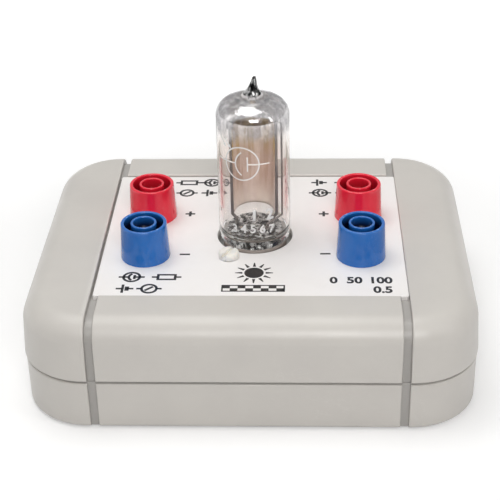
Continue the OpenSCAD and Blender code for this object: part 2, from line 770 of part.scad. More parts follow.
// Point level with the hole of tube contact k, r from the tube's axis
function tail_point(k, r) = [tube_x + r * cos(pin_angles[k - 1]), tube_y + r * sin(pin_angles[k - 1]),
    tail_hole_z];

// Wire between the two front sockets
module wire_common() color("royalblue") {
    start_y = socket_front - wire_end;
    lead_y = socket_front + wire_lead;
    run_y = socket_front + wire_run;
    wire([[left_x, start_y, wire_z], [left_x, lead_y, wire_z], [left_x + wire_run, run_y, wire_z],
        [right_x - wire_run, run_y, wire_z], [right_x, lead_y, wire_z], [right_x, start_y, wire_z]],
        wire_d, wire_bend, [0, 0, 1]);
}

// Wire from the right rear socket to the tube's second contact
module wire_supply() color("crimson")
    wire([[right_x, socket_rear + wire_end, wire_z], [right_x, socket_rear - wire_lead, wire_z],
        [tube_x + 14, tube_y, (wire_z + tail_hole_z) / 2],
        tail_point(2, pin_r + wire_lead), tail_point(2, pin_r - wire_end / 2)],
        wire_d, wire_bend, [0, 0, 1]);

// Wire from the left rear socket to the tube's sixth contact
module wire_cathode() color("dimgray")
    wire([[left_x, socket_rear + wire_end, wire_z], [left_x, socket_rear - wire_lead, wire_z],
        [tube_x - 14, tube_y + wire_bend, (wire_z + tail_hole_z) / 2],
        tail_point(6, pin_r + wire_lead), tail_point(6, pin_r - wire_end / 2)],
        wire_d, wire_bend, [0, 0, 1]);

upper_shell();
lower_shell();
panel_plate();
socket_body("crimson", left_x, socket_rear);  // socket_body_red_left
socket_body("crimson", right_x, socket_rear);  // socket_body_red_right
socket_body("royalblue", left_x, socket_front);  // socket_body_blue_left
socket_body("royalblue", right_x, socket_front);  // socket_body_blue_right
socket_sleeve(left_x, socket_rear);  // socket_sleeve_red_left
socket_sleeve(right_x, socket_rear);  // socket_sleeve_red_right
socket_sleeve(left_x, socket_front);  // socket_sleeve_blue_left
socket_sleeve(right_x, socket_front);  // socket_sleeve_blue_right
socket_nut(left_x, socket_rear);  // socket_nut_red_left
socket_nut(right_x, socket_rear);  // socket_nut_red_right
socket_nut(left_x, socket_front);  // socket_nut_blue_left
socket_nut(right_x, socket_front);  // socket_nut_blue_right
glass_bulb();
glass_base();
base_pin(1);  // base_pin_1
base_pin(2);  // base_pin_2
base_pin(3);  // base_pin_3
base_pin(4);  // base_pin_4
base_pin(5);  // base_pin_5
base_pin(6);  // base_pin_6
base_pin(7);  // base_pin_7
cathode_plate();
cathode_rod(-1);  // cathode_rod_left
cathode_rod(1);  // cathode_rod_right
anode_wire();
getter_flag();
tube_socket_body();
tube_socket_saddle();
tube_socket_spigot();
tube_contact(1);  // tube_contact_1
tube_contact(2);  // tube_contact_2
tube_contact(3);  // tube_contact_3
tube_contact(4);  // tube_contact_4
tube_contact(5);  // tube_contact_5
tube_contact(6);  // tube_contact_6
tube_contact(7);  // tube_contact_7
nylon_screw(-1);  // nylon_screw_front
nylon_screw(1);  // nylon_screw_rear
nylon_nut(-1);  // nylon_nut_front
nylon_nut(1);  // nylon_nut_rear
housing_screw(-1, -1);  // housing_screw_front_left
housing_screw(1, -1);  // housing_screw_front_right
housing_screw(-1, 1);  // housing_screw_rear_left
housing_screw(1, 1);  // housing_screw_rear_right
foot(-1, -1);  // foot_front_left
foot(1, -1);  // foot_front_right
foot(-1, 1);  // foot_rear_left
foot(1, 1);  // foot_rear_right
load_resistor();
wire_common();
wire_supply();
wire_cathode();
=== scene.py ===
import json
import math

import bmesh
import bpy
import numpy as np
from mathutils import Matrix, Vector


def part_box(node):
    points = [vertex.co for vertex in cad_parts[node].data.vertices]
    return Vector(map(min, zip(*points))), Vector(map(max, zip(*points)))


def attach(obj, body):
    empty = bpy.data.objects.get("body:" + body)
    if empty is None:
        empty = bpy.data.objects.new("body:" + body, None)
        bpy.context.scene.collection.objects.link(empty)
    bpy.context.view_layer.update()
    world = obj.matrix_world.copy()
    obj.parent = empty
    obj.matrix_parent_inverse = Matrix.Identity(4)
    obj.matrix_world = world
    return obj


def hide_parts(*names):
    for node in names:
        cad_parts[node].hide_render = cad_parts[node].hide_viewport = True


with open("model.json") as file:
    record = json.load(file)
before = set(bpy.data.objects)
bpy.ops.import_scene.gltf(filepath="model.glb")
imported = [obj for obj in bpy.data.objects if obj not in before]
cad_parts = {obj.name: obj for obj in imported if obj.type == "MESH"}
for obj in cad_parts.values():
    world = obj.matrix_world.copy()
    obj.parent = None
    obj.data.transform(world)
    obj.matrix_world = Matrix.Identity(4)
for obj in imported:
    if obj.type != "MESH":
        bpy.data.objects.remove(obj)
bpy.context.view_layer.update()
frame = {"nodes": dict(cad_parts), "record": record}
nodes = frame["nodes"]
slotOfNode = {row["node"]: row["material_slot"] for row in frame["record"]["subparts"]}
mm = 0.001
fullTurn = 2 * math.pi
print("frame loaded:", len(nodes), "nodes")


# Lowest and highest corner of a node in millimetres
def boxOf(node):
    low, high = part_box(node)
    return np.array(low) / mm, np.array(high) / mm


def addObject(name, data):
    item = bpy.data.objects.new(name, data)
    bpy.context.scene.collection.objects.link(item)
    return item


# Flat mesh in the plane z = 0, in the units of its points
def flatMesh(points, faces):
    mesh = bpy.data.meshes.new("flat")
    mesh.from_pydata(np.pad(np.array(points, float), ((0, 0), (0, 1))), [], faces)
    return mesh


def pointsOf(mesh):
    points = np.zeros(len(mesh.vertices) * 3)
    mesh.vertices.foreach_get("co", points)
    return points.reshape(-1, 3)


# Arrays or numbers side by side along a new last axis, as coordinates or as the corners of faces
def stacked(*parts):
    return np.stack(np.broadcast_arrays(*parts), axis=-1)


def filled(line):
    return flatMesh(line, [tuple(range(len(line)))])


def oblong(x0, y0, x1, y1):
    return [(x0, y0), (x1, y0), (x1, y1), (x0, y1)]


# Camera at the photograph's place, fitted to the housing, the panel and the tube, in mm and degrees

cameraSetup = {"place": (13.27, -302.85, 206.5), "yaw": -2.69, "pitch": 31.03, "roll": -1.35,
               "lens": 92.99, "sensor": 36}


# Starts looking straight down. Roll turns it about its view, pitch tips it up, and yaw turns it to the side.
def makeCamera():
    yaw, pitch, roll = (math.radians(cameraSetup[key]) for key in ("yaw", "pitch", "roll"))
    data = bpy.data.cameras.new("camera")
    data.lens = cameraSetup["lens"]
    data.sensor_width = cameraSetup["sensor"]
    camera = addObject("camera", data)
    tipped = Matrix.Rotation(math.pi / 2 - pitch, 4, "X") @ Matrix.Rotation(roll, 4, "Z")
    moved = Matrix.Translation(Vector(cameraSetup["place"]) * mm)
    camera.matrix_world = moved @ Matrix.Rotation(-yaw, 4, "Z") @ tipped
    bpy.context.scene.camera = camera


# Lamps are soft boxes aimed at the tube's foot: place in mm, width and height in mm, power in W

lamps = {
    "boxAbove": {"place": (-100, 60, 640), "size": (420, 420), "power": 1.98, "tint": (1.0, 1.0, 0.985)},
    "boxFront": {"place": (60, -500, 400), "size": (280, 200), "power": 1.5, "tint": (1.0, 0.985, 0.98)},
    "stripLeft": {"place": (-430, -60, 240), "size": (70, 420), "power": 0.10, "tint": (1.0, 0.98, 0.97)},
    "stripRight": {"place": (420, -200, 280), "size": (60, 360), "power": 0.26, "tint": (1.0, 0.98, 0.97)},
}
lampTarget = (0, 0, 30)


def makeLamp(name, setup):
    data = bpy.data.lights.new(name, "AREA")
    data.shape = "RECTANGLE"
    data.size, data.size_y = (side * mm for side in setup["size"])
    data.energy = setup["power"]
    data.color = setup["tint"]
    lamp = addObject(name, data)
    lamp.location = Vector(setup["place"]) * mm
    lamp.rotation_euler = (Vector(lampTarget) * mm - lamp.location).to_track_quat("-Z", "Y").to_euler()


# Shader nodes

# Links a socket to an input, and sets an input to any other value. Colours are given without alpha.
def feed(tree, node, inputs):
    for key, value in inputs.items():
        target = node.inputs[key]
        if isinstance(value, bpy.types.NodeSocket):
            tree.links.new(value, target)
        else:
            target.default_value = (*value, 1) if target.type == "RGBA" else value


def put(tree, kind, inputs=None, **settings):
    node = tree.nodes.new("ShaderNode" + kind)
    for key, value in settings.items():
        setattr(node, key, value)
    feed(tree, node, inputs or {})
    return node


def calc(tree, operation, first, second=0.0, third=0.0):
    return put(tree, "Math", {0: first, 1: second, 2: third}, operation=operation).outputs[0]


def times(tree, first, second):
    return calc(tree, "MULTIPLY", first, second)


def scaled(tree, value, factor, added):
    return calc(tree, "MULTIPLY_ADD", value, factor, added)


# Smooth step from one value to another while the value given goes from low to high
def ramp(tree, value, low, high, start=0.0, end=1.0):
    inputs = {"Value": value, "From Min": low, "From Max": high, "To Min": start, "To Max": end}
    return put(tree, "MapRange", inputs, interpolation_type="SMOOTHSTEP").outputs[0]


def blendColour(tree, share, first, second):
    return put(tree, "Mix", {0: share, 6: first, 7: second}, data_type="RGBA").outputs[2]


def noise(tree, vector, scale, detail=3.0, rough=0.55):
    inputs = {"Vector": vector, "Scale": scale, "Detail": detail, "Roughness": rough}
    return put(tree, "TexNoise", inputs).outputs["Fac"]


def stretched(tree, vector, factors):
    return put(tree, "Mapping", {"Vector": vector, "Scale": factors}).outputs[0]


def objectPlace(tree):
    return put(tree, "TexCoord").outputs["Object"]


def heightOf(tree, vector):
    return put(tree, "SeparateXYZ", {"Vector": vector}).outputs["Z"]


def newMaterial(name):
    material = bpy.data.materials.new(name)
    material.use_nodes = True
    tree = material.node_tree
    return material, tree, tree.nodes["Principled BSDF"]


# Ray kinds, and a mask that is 1 for what the camera, gloss or glass sees and 0 for what lights the scene
def rayMask(tree):
    rays = put(tree, "LightPath").outputs
    seen = calc(tree, "MAXIMUM", rays["Is Glossy Ray"], rays["Is Transmission Ray"])
    return rays, calc(tree, "MAXIMUM", seen, rays["Is Camera Ray"])


# Backdrop and floor are seen brighter than they light: white all round, with a dim room behind the camera

studio = {"light": 0.27, "room": (0.16, 0.16, 0.16), "roomFrom": (0.35, 0.8), "roomTop": (0.75, 0.45),
          "glossDim": 0.3, "floor": (0.84, 0.84, 0.84), "floorReach": 3.0, "floorFade": (0.08, 0.26),
          "floorGlow": (0.22, 0.92)}
white, black = (1, 1, 1), (0, 0, 0)


def makeWorld():
    world = bpy.data.worlds.new("studio")
    world.use_nodes = True
    tree = world.node_tree
    tree.nodes.clear()
    direction = put(tree, "TexCoord").outputs["Generated"]
    axes = put(tree, "SeparateXYZ", {"Vector": direction}).outputs
    towardsRoom = ramp(tree, times(tree, axes["Y"], -1), *studio["roomFrom"])
    room = times(tree, towardsRoom, ramp(tree, axes["Z"], *studio["roomTop"]))
    backdrop = blendColour(tree, room, white, studio["room"])
    rays, seen = rayMask(tree)
    dim = times(tree, rays["Is Glossy Ray"], studio["glossDim"])
    dimmed = blendColour(tree, dim, backdrop, black)
    shown = blendColour(tree, rays["Is Camera Ray"], dimmed, white)
    lighting = put(tree, "Background", {"Color": backdrop, "Strength": studio["light"]}).outputs[0]
    showing = put(tree, "Background", {"Color": shown, "Strength": 1}).outputs[0]
    mixed = put(tree, "MixShader", {0: seen, 1: lighting, 2: showing}).outputs[0]
    put(tree, "OutputWorld", {"Surface": mixed})
    bpy.context.scene.world = world


def makeFloor():
    reach = studio["floorReach"]
    material, tree, shader = newMaterial("paleFloor")
    away = put(tree, "VectorMath", {0: objectPlace(tree)}, operation="LENGTH").outputs["Value"]
    spread = ramp(tree, away, *studio["floorFade"], *studio["floorGlow"])
    feed(tree, shader, {"Base Color": studio["floor"], "Roughness": 0.9, "Specular IOR Level": 0.1,
                        "Emission Color": white,
                        "Emission Strength": times(tree, rayMask(tree)[1], spread)})
    floor = addObject("floor", filled(oblong(-reach, -reach, reach, reach)))
    floor.data.materials.append(material)


makeCamera()
makeWorld()
makeFloor()
for lampName, lampSetup in lamps.items():
    makeLamp(lampName, lampSetup)
bpy.context.scene.view_settings.view_transform = "Standard"
print("camera, lamps and floor placed")


# Shared effects. Each is a node group that puts out masks, values or heights that change over the surface.

def newGroup(name, inputs, outputs):
    tree = bpy.data.node_groups.new(name, "ShaderNodeTree")
    for label, value in inputs.items():
        tree.interface.new_socket(label, in_out="INPUT", socket_type="NodeSocketFloat").default_value = value
    for label in outputs:
        tree.interface.new_socket(label, in_out="OUTPUT", socket_type="NodeSocketFloat")
    return tree, objectPlace(tree), tree.nodes.new("NodeGroupInput").outputs


def closeGroup(tree, results):
    feed(tree, tree.nodes.new("NodeGroupOutput"), results)
    return tree


# Spark-eroded mould texture: 0.45 of cell pits plus 0.55 of fine noise for the bump, and slow patches
def makeMouldGrain():
    tree, place, given = newGroup("mouldGrain", {"Scale": 2500.0, "Patch": 60.0}, ("Height", "Patches"))
    pits = put(tree, "TexVoronoi", {"Vector": place, "Scale": given["Scale"]}).outputs["Distance"]
    fine = noise(tree, place, given["Scale"], 4)
    patches = noise(tree, place, given["Patch"], 4, 0.6)
    height = scaled(tree, pits, 0.45, times(tree, fine, 0.55))
    return closeGroup(tree, {"Height": height, "Patches": ramp(tree, patches, 0.3, 0.7)})


# Hair scratches from handling: two crossed sets of thin lines, where stretched noise passes its middle value,
# kept only where a slower noise makes a smudge
def makeHandling():
    tree, place, given = newGroup("handling", {"Scale": 90.0, "Share": 0.3}, ("Scratches", "Smudges"))
    streaks = []
    for turn in (0.5, 2.2):
        crossed = put(tree, "Mapping", {"Vector": place, "Rotation": (0.3, 0.2, turn), "Scale": (1, 22, 3)})
        lines = noise(tree, crossed.outputs[0], given["Scale"], 2)
        streaks.append(ramp(tree, calc(tree, "ABSOLUTE", calc(tree, "SUBTRACT", lines, 0.5)), 0.012, 0.0))
    smudges = ramp(tree, noise(tree, place, times(tree, given["Scale"], 0.6), 3), 0.45, 0.72)
    both = calc(tree, "MAXIMUM", streaks[0], streaks[1])
    scratches = times(tree, times(tree, both, smudges), given["Share"])
    return closeGroup(tree, {"Scratches": scratches, "Smudges": smudges})


# Convex edges, from how far the mesh bulges, roughened by noise of a fortieth either way. Plastics lighten
# them:
# partly rubbed wear, partly painted highlight.
def makeEdgeWearAndHighlight():
    tree, place, given = newGroup("edgeWearAndHighlight", {"Start": 0.53, "Full": 0.62}, ("Edges",))
    bulge = put(tree, "NewGeometry").outputs["Pointiness"]
    lowered = calc(tree, "SUBTRACT", bulge, 0.025)
    uneven = scaled(tree, noise(tree, place, 900, 3), 0.05, lowered)
    return closeGroup(tree, {"Edges": ramp(tree, uneven, given["Start"], given["Full"])})


# Dust on faces that look up, thicker in soft patches
def makeDust():
    tree, place, given = newGroup("dust", {"Amount": 0.3}, ("Dust",))
    upward = heightOf(tree, put(tree, "NewGeometry").outputs["Normal"])
    specks = ramp(tree, noise(tree, place, 250, 6, 0.7), 0.48, 0.75)
    lying = times(tree, ramp(tree, upward, 0.3, 0.95), specks)
    return closeGroup(tree, {"Dust": times(tree, lying, given["Amount"])})


# Lines that a die or a lathe leaves on metal: noise squeezed along the piece's length
def makeDrawLines():
    tree, place, given = newGroup("drawLines", {"Scale": 1500.0, "Squeeze": 0.04}, ("Height", "Tone"))
    factors = put(tree, "CombineXYZ", {"X": 1.0, "Y": 1.0, "Z": given["Squeeze"]}).outputs[0]
    squeezed = put(tree, "VectorMath", {0: place, 1: factors}, operation="MULTIPLY").outputs[0]
    lines = noise(tree, squeezed, given["Scale"], 3, 0.6)
    tone = noise(tree, squeezed, times(tree, given["Scale"], 0.2), 3)
    return closeGroup(tree, {"Height": lines, "Tone": ramp(tree, tone, 0.3, 0.7)})


effects = {"grain": makeMouldGrain(), "handling": makeHandling(), "edges": makeEdgeWearAndHighlight(), "dust": makeDust(),
           "lines": makeDrawLines()}
print("effects made:", ", ".join(effects))


def effect(tree, kind, **values):
    node = tree.nodes.new("ShaderNodeGroup")
    node.node_tree = effects[kind]
    feed(tree, node, values)
    return node.outputs


# Makes a finish. Its surface function gives the shader's inputs, a height for the bump and its depth in mm.

finishes = {}


def makeFinish(name, surface, *look):
    material, tree, shader = newMaterial(name)
    inputs, height, depth = surface(tree, *look)
    bump = put(tree, "Bump", {"Height": height, "Strength": 1.0, "Distance": depth * mm})
    feed(tree, shader, {**inputs, "Normal": bump.outputs[0]})
    finishes[name] = material


# Colour that changes between two tones, and roughness between two values, as a mask goes from 0 to 1
def twoTone(tree, mask, colour, tone, roughness):
    return blendColour(tree, mask, colour, tone), ramp(tree, mask, 0, 1, *roughness)


# Moulded plastic: two tones in slow patches, eroded grain, scratches and dust; lighter edges, partly rubbed
# wear and partly painted highlight; and painted shade in grooves, recesses and wells. Roughness goes
# with the patches, and scratches and dust raise it.

# The edge share sets how much convex edges lighten: partly rubbed wear, partly painted highlight
plainPlastic = {"patch": 60, "share": 0.3, "edge": 0.25, "dust": 0.12, "gloss": 0.5, "coat": 0, "glow": 0}
glossyPlastic = {"roughness": (0.13, 0.20), "grain": 900, "patch": 120, "depth": 0.002, "edge": 0.6,
                 "share": 0.15, "dust": 0.02, "gloss": 0.42, "coat": 0.2}
wireCover = {"roughness": (0.35, 0.45), "grain": 1800, "depth": 0.005}
# The shell's and the sockets' darkest colour is painted shade for their grooves, recesses and wells
plastics = {
    "shell_plastic": {
        "colour": (0.62, 0.595, 0.555), "tone": (0.59, 0.565, 0.53), "wearAndHighlight": (0.80, 0.78, 0.745),
        "paintedShade": (0.42, 0.405, 0.385), "roughness": (0.33, 0.40), "grain": 2600, "patch": 45,
        "depth": 0.009, "edge": 0.3, "share": 0.12, "dust": 0.08},
    "panel_white": {
        "colour": (0.92, 0.90, 0.885), "tone": (0.90, 0.87, 0.85), "wearAndHighlight": (0.93, 0.92, 0.91),
        "roughness": (0.34, 0.44), "grain": 3200, "patch": 40, "depth": 0.004, "edge": 0.2, "share": 0.2,
        "dust": 0.05},
    "red_plastic": {
        **glossyPlastic, "colour": (0.90, 0.018, 0.050), "tone": (0.84, 0.014, 0.042),
        "wearAndHighlight": (0.95, 0.22, 0.24), "paintedShade": (0.50, 0.008, 0.02)},
    "blue_plastic": {
        **glossyPlastic, "colour": (0.012, 0.150, 0.52), "tone": (0.010, 0.128, 0.47),
        "wearAndHighlight": (0.22, 0.42, 0.80), "paintedShade": (0.003, 0.008, 0.038)},
    "socket_phenolic": {
        "colour": (0.24, 0.205, 0.18), "tone": (0.30, 0.26, 0.23), "wearAndHighlight": (0.36, 0.32, 0.29),
        "roughness": (0.35, 0.5), "grain": 1800, "depth": 0.01},
    "nylon": {
        "colour": (0.90, 0.87, 0.82), "tone": (0.86, 0.83, 0.77), "wearAndHighlight": (0.90, 0.88, 0.84),
        "roughness": (0.28, 0.40), "grain": 1500, "depth": 0.006, "glow": 0.85, "dust": 0.0},
    "rubber_foot": {
        "colour": (0.050, 0.050, 0.050), "tone": (0.035, 0.035, 0.036), "wearAndHighlight": (0.12, 0.12, 0.12),
        "roughness": (0.65, 0.85), "grain": 1600, "depth": 0.02, "gloss": 0.3},
    "resistor_body": {
        "colour": (0.62, 0.50, 0.34), "tone": (0.57, 0.45, 0.30), "wearAndHighlight": (0.70, 0.60, 0.45),
        "roughness": (0.22, 0.34), "grain": 1200, "depth": 0.01},
    "wire_blue": {
        **wireCover, "colour": (0.05, 0.12, 0.40), "tone": (0.04, 0.10, 0.35), "wearAndHighlight": (0.12, 0.20, 0.50)},
    "wire_red": {
        **wireCover, "colour": (0.50, 0.03, 0.03), "tone": (0.43, 0.02, 0.02), "wearAndHighlight": (0.60, 0.12, 0.12)},
    "wire_grey": {
        **wireCover, "colour": (0.10, 0.10, 0.10), "tone": (0.08, 0.08, 0.08), "wearAndHighlight": (0.18, 0.18, 0.18)},
}
dustColour = (0.62, 0.61, 0.58)


def mouldedPlastic(tree, look):
    look = {**plainPlastic, **look}
    grain = effect(tree, "grain", Scale=look["grain"], Patch=look["patch"])
    scratches = effect(tree, "handling", Share=look["share"])["Scratches"]
    dust = effect(tree, "dust", Amount=look["dust"])["Dust"]
    edges = times(tree, effect(tree, "edges")["Edges"], look["edge"])
    colour, rough = twoTone(tree, grain["Patches"], look["colour"], look["tone"], look["roughness"])
    # Convex edges and scratches lighten towards one colour: on the edges partly rubbed wear, partly painted
    # highlight
    colour = blendColour(tree, edges, colour, look["wearAndHighlight"])
    colour = blendColour(tree, scratches, colour, look["wearAndHighlight"])
    colour = blendColour(tree, dust, colour, dustColour)
    # Painted shade: where the vertex attribute marks grooves, recesses, wells and the ring's hole, the colour
    # darkens towards a darker colour in place of their real shade
    if "paintedShade" in look:
        shadeMask = put(tree, "Attribute", attribute_name="paintedShade").outputs["Fac"]
        colour = blendColour(tree, shadeMask, colour, look["paintedShade"])
    rough = scaled(tree, scratches, 0.25, rough)
    inputs = {"Base Color": colour, "Roughness": scaled(tree, dust, 0.4, rough),
              "Specular IOR Level": look["gloss"], "Coat Weight": look["coat"], "Coat Roughness": 0.05,
              "Subsurface Weight": look["glow"], "Subsurface Scale": 2.0 * mm,
              "Subsurface Radius": (1.0, 0.9, 0.75)}
    return inputs, grain["Height"], look["depth"]


# Plated or drawn metal: lines along the piece, two tones in slow patches, and a duller film in the smudges,
# which also raise the roughness

# name: colour, tone, film, roughness and the scale of the lines
metals = {
    "nickel_plate": ((0.66, 0.63, 0.56), (0.58, 0.55, 0.49), (0.40, 0.37, 0.32), (0.18, 0.30), 1500),
    "nut_metal": ((0.60, 0.60, 0.60), (0.52, 0.52, 0.53), (0.35, 0.34, 0.33), (0.25, 0.38), 1500),
    "pin_metal": ((0.55, 0.54, 0.52), (0.47, 0.46, 0.44), (0.25, 0.23, 0.22), (0.16, 0.28), 2500),
    "electrode_metal": ((0.24, 0.22, 0.21), (0.34, 0.31, 0.29), (0.12, 0.11, 0.10), (0.5, 0.65), 3000),
    "saddle_steel": ((0.55, 0.55, 0.53), (0.48, 0.48, 0.47), (0.33, 0.31, 0.28), (0.28, 0.42), 1500),
    "contact_metal": ((0.72, 0.62, 0.38), (0.65, 0.55, 0.33), (0.40, 0.31, 0.18), (0.22, 0.35), 1500),
    "screw_steel": ((0.58, 0.58, 0.58), (0.50, 0.51, 0.53), (0.30, 0.29, 0.28), (0.24, 0.36), 1500),
}


def drawnMetal(tree, look):
    colour, tone, film, roughness, scale = look
    lines = effect(tree, "lines", Scale=scale)
    smudges = effect(tree, "handling", Scale=160)["Smudges"]
    colour, rough = twoTone(tree, lines["Tone"], colour, tone, roughness)
    colour = blendColour(tree, times(tree, smudges, 0.3), colour, film)
    rough = scaled(tree, smudges, 0.1, rough)
    return {"Base Color": colour, "Roughness": rough, "Metallic": 1.0}, lines["Height"], 0.01


# Tan coat on thin sheet: rose, golden from 12 to 5 mm under the top and paler from 9 to 1 mm above the foot,
# with faint upright flow lines and darker clouds

coatLook = {"rose": (0.60, 0.455, 0.375), "gold": (0.60, 0.43, 0.20), "goldRange": (-12, -5),
            "pale": (0.86, 0.78, 0.70), "paleRange": (9, 1), "flow": (0.80, 0.70, 0.65),
            "cloud": (0.50, 0.37, 0.33), "roughness": (0.38, 0.55)}


def cathodeCoat(tree):
    place = objectPlace(tree)
    height = heightOf(tree, place)
    low, high = boxOf("cathode_plate")
    upper = ramp(tree, height, *((high[2] + rise) * mm for rise in coatLook["goldRange"]))
    lower = ramp(tree, height, *((low[2] + rise) * mm for rise in coatLook["paleRange"]))
    flow = ramp(tree, noise(tree, stretched(tree, place, (1, 1, 0.07)), 700, 4), 0.42, 0.6, 0, 0.6)
    clouds = ramp(tree, noise(tree, place, 160, 3), 0.45, 0.7, 0, 0.3)
    grain = effect(tree, "grain", Scale=1800, Patch=150)
    colour = blendColour(tree, upper, coatLook["rose"], coatLook["gold"])
    colour = blendColour(tree, lower, colour, coatLook["pale"])
    colour = blendColour(tree, flow, colour, coatLook["flow"])
    colour = blendColour(tree, clouds, colour, coatLook["cloud"])
    rough = ramp(tree, grain["Patches"], 0, 1, *coatLook["roughness"])
    return {"Base Color": colour, "Roughness": rough, "Metallic": 0.25}, grain["Height"], 0.006


# Blown glass: its tint follows stops up the height, which upright streaks shift a little and thin out. Slow
# ripples make the bump, scratches dull it a little, and shadows through it are lighter.

bulbLow, bulbHigh = boxOf("glass_bulb")
bulbStops = (
    (0.0, (0.95, 0.95, 0.94)),
    (7.0, (0.95, 0.94, 0.93)),
    (12.0, (0.91, 0.865, 0.84)),
    (22.0, (0.86, 0.795, 0.765)),
    (30.0, (0.86, 0.80, 0.755)),
    (33.0, (0.88, 0.86, 0.85)),
    (36.0, (0.82, 0.81, 0.82)),
    (41.0, (0.82, 0.82, 0.83)),
    (42.2, (0.75, 0.75, 0.75)),
    (46.4, (0.55, 0.55, 0.55)),
)
bulbLook = {"wander": 2.0, "streak": 0.5, "ripple": 130, "depth": 0.05, "bend": 1.25, "gloss": 0.7,
            "shadow": 0.15}


def blownGlass(tree, look):
    place = objectPlace(tree)
    height = heightOf(tree, place)
    streaks = noise(tree, stretched(tree, place, (1, 1, 0.12)), 420, 3)
    wander = scaled(tree, streaks, look["wander"] * mm, height)
    lowStop, highStop = bulbStops[0][0], bulbStops[-1][0]
    foot, top = ((bulbLow[2] + rise) * mm for rise in (lowStop, highStop))
    share = put(tree, "MapRange", {"Value": wander, "From Min": foot, "From Max": top}).outputs[0]
    band = put(tree, "ValToRGB", {"Fac": share})
    points = band.color_ramp.elements
    while len(points) < len(bulbStops):
        points.new(0.5)
    for point, (rise, colour) in zip(points, bulbStops):
        point.position = (rise - lowStop) / (highStop - lowStop)
        point.color = (*colour, 1)
    tint = blendColour(tree, ramp(tree, streaks, 0.35, 0.75, 0, look["streak"]), band.outputs[0], white)
    scratches = effect(tree, "handling", Scale=220, Share=0.5)["Scratches"]
    shadowed = put(tree, "LightPath").outputs["Is Shadow Ray"]
    ripples = noise(tree, stretched(tree, place, (1, 1, 0.35)), look["ripple"], 2)
    inputs = {"Base Color": tint, "Roughness": times(tree, scratches, 0.08), "Metallic": 0.0,
              "Alpha": scaled(tree, shadowed, look["shadow"] - 1, 1.0), "IOR": look["bend"],
              "Transmission Weight": 1.0, "Specular IOR Level": look["gloss"]}
    return inputs, ripples, look["depth"]


# Pressed glass of the base: sooty and clear specks, and frosted ones that let less light through. The sum of
# both noises makes its coarse ripple.
def pressedGlass(tree):
    place = objectPlace(tree)
    specks = noise(tree, place, 620, 4, 0.7)
    frost = ramp(tree, noise(tree, place, 900, 3, 0.6), 0.46, 0.58)
    colour = blendColour(tree, ramp(tree, specks, 0.42, 0.58), (0.46, 0.45, 0.44), (0.98, 0.97, 0.96))
    rough = scaled(tree, frost, 0.55, 0.03)
    clear = scaled(tree, frost, -0.6, 1.0)
    inputs = {"Base Color": colour, "Roughness": rough, "Transmission Weight": clear, "Metallic": 0.0,
              "IOR": 1.47}
    return inputs, calc(tree, "ADD", specks, frost), 0.12


# Silvery film inside the glass: it fades in with height, is thinner and blotchy in cloudy patches, and its
# tone changes in streaks that flow along the height. The fade's two heights are above the bulb's foot.

films = {
    "mirrorFilm": {
        "fadeIn": (31.4, 34.4), "strength": (0.34, 0.46), "stretch": 0.4, "streaks": 500, "depth": 0.035,
        "dark": (0.46, 0.45, 0.46), "light": (0.74, 0.73, 0.73), "edge": (0.5, 0.49, 0.5)},
    "tipFilm": {
        "fadeIn": (0, 1), "strength": (0.95, 1.0), "stretch": 0.22, "streaks": 1100, "depth": 0.03,
        "dark": (0.008, 0.008, 0.009), "light": (0.72, 0.72, 0.72), "edge": (0.3, 0.3, 0.3)},
}


def mirrorFilm(tree, look):
    place = objectPlace(tree)
    height = heightOf(tree, place)
    clouds = noise(tree, place, 260, 4, 0.6)
    flow = noise(tree, stretched(tree, place, (1, 1, look["stretch"])), look["streaks"], 4, 0.6)
    uneven = scaled(tree, calc(tree, "SUBTRACT", clouds, 0.5), 4 * mm, height)
    present = ramp(tree, uneven, *((bulbLow[2] + rise) * mm for rise in look["fadeIn"]))
    density = ramp(tree, clouds, 0.32, 0.68, *look["strength"])
    colour = blendColour(tree, ramp(tree, flow, 0.46, 0.6), look["dark"], look["light"])
    inputs = {"Base Color": colour, "Roughness": ramp(tree, flow, 0.35, 0.75, 0.04, 0.16), "Metallic": 1.0,
              "Alpha": times(tree, present, density), "Specular Tint": look["edge"]}
    return inputs, scaled(tree, clouds, 3.0, flow), look["depth"]


# Ink: its tone and gloss change in the grain's small patches

# name: colour, tone, roughness and cover
inks = {
    "panelInk": ((0.012, 0.012, 0.013), (0.02, 0.02, 0.02), (0.35, 0.5), 1.0),
    "frostInk": ((0.92, 0.91, 0.90), (0.86, 0.85, 0.84), (0.6, 0.8), 0.92),
}


def printedInk(tree, look):
    *looks, cover = look
    grain = effect(tree, "grain", Scale=2200, Patch=600)
    colour, rough = twoTone(tree, grain["Patches"], *looks)
    return {"Base Color": colour, "Roughness": rough, "Alpha": cover}, grain["Height"], 0.004


surfaces = ((mouldedPlastic, plastics), (drawnMetal, metals), (mirrorFilm, films), (printedInk, inks))
for surface, looks in surfaces:
    for name, look in looks.items():
        makeFinish(name, surface, look)
makeFinish("cathode_coat", cathodeCoat)
makeFinish("bulb_glass", blownGlass, bulbLook)
makeFinish("base_glass", pressedGlass)
print("finishes made:", len(finishes))


def dress(piece, finish):
    piece.data.materials.clear()
    piece.data.materials.append(finishes[finish])


for nodeName, nodeObject in nodes.items():
    dress(nodeObject, slotOfNode[nodeName])


# Puts a finished mesh into the scene. It rides on the one body and stands for the node named, if any; a
# printed or vapour layer has a finish of its own and no slot.
def addPiece(name, mesh, node=None, finish=None):
    piece = addObject(name, mesh)
    dress(piece, finish or slotOfNode[node])
    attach(piece, "root")
    if node:
        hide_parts(node)
    return piece


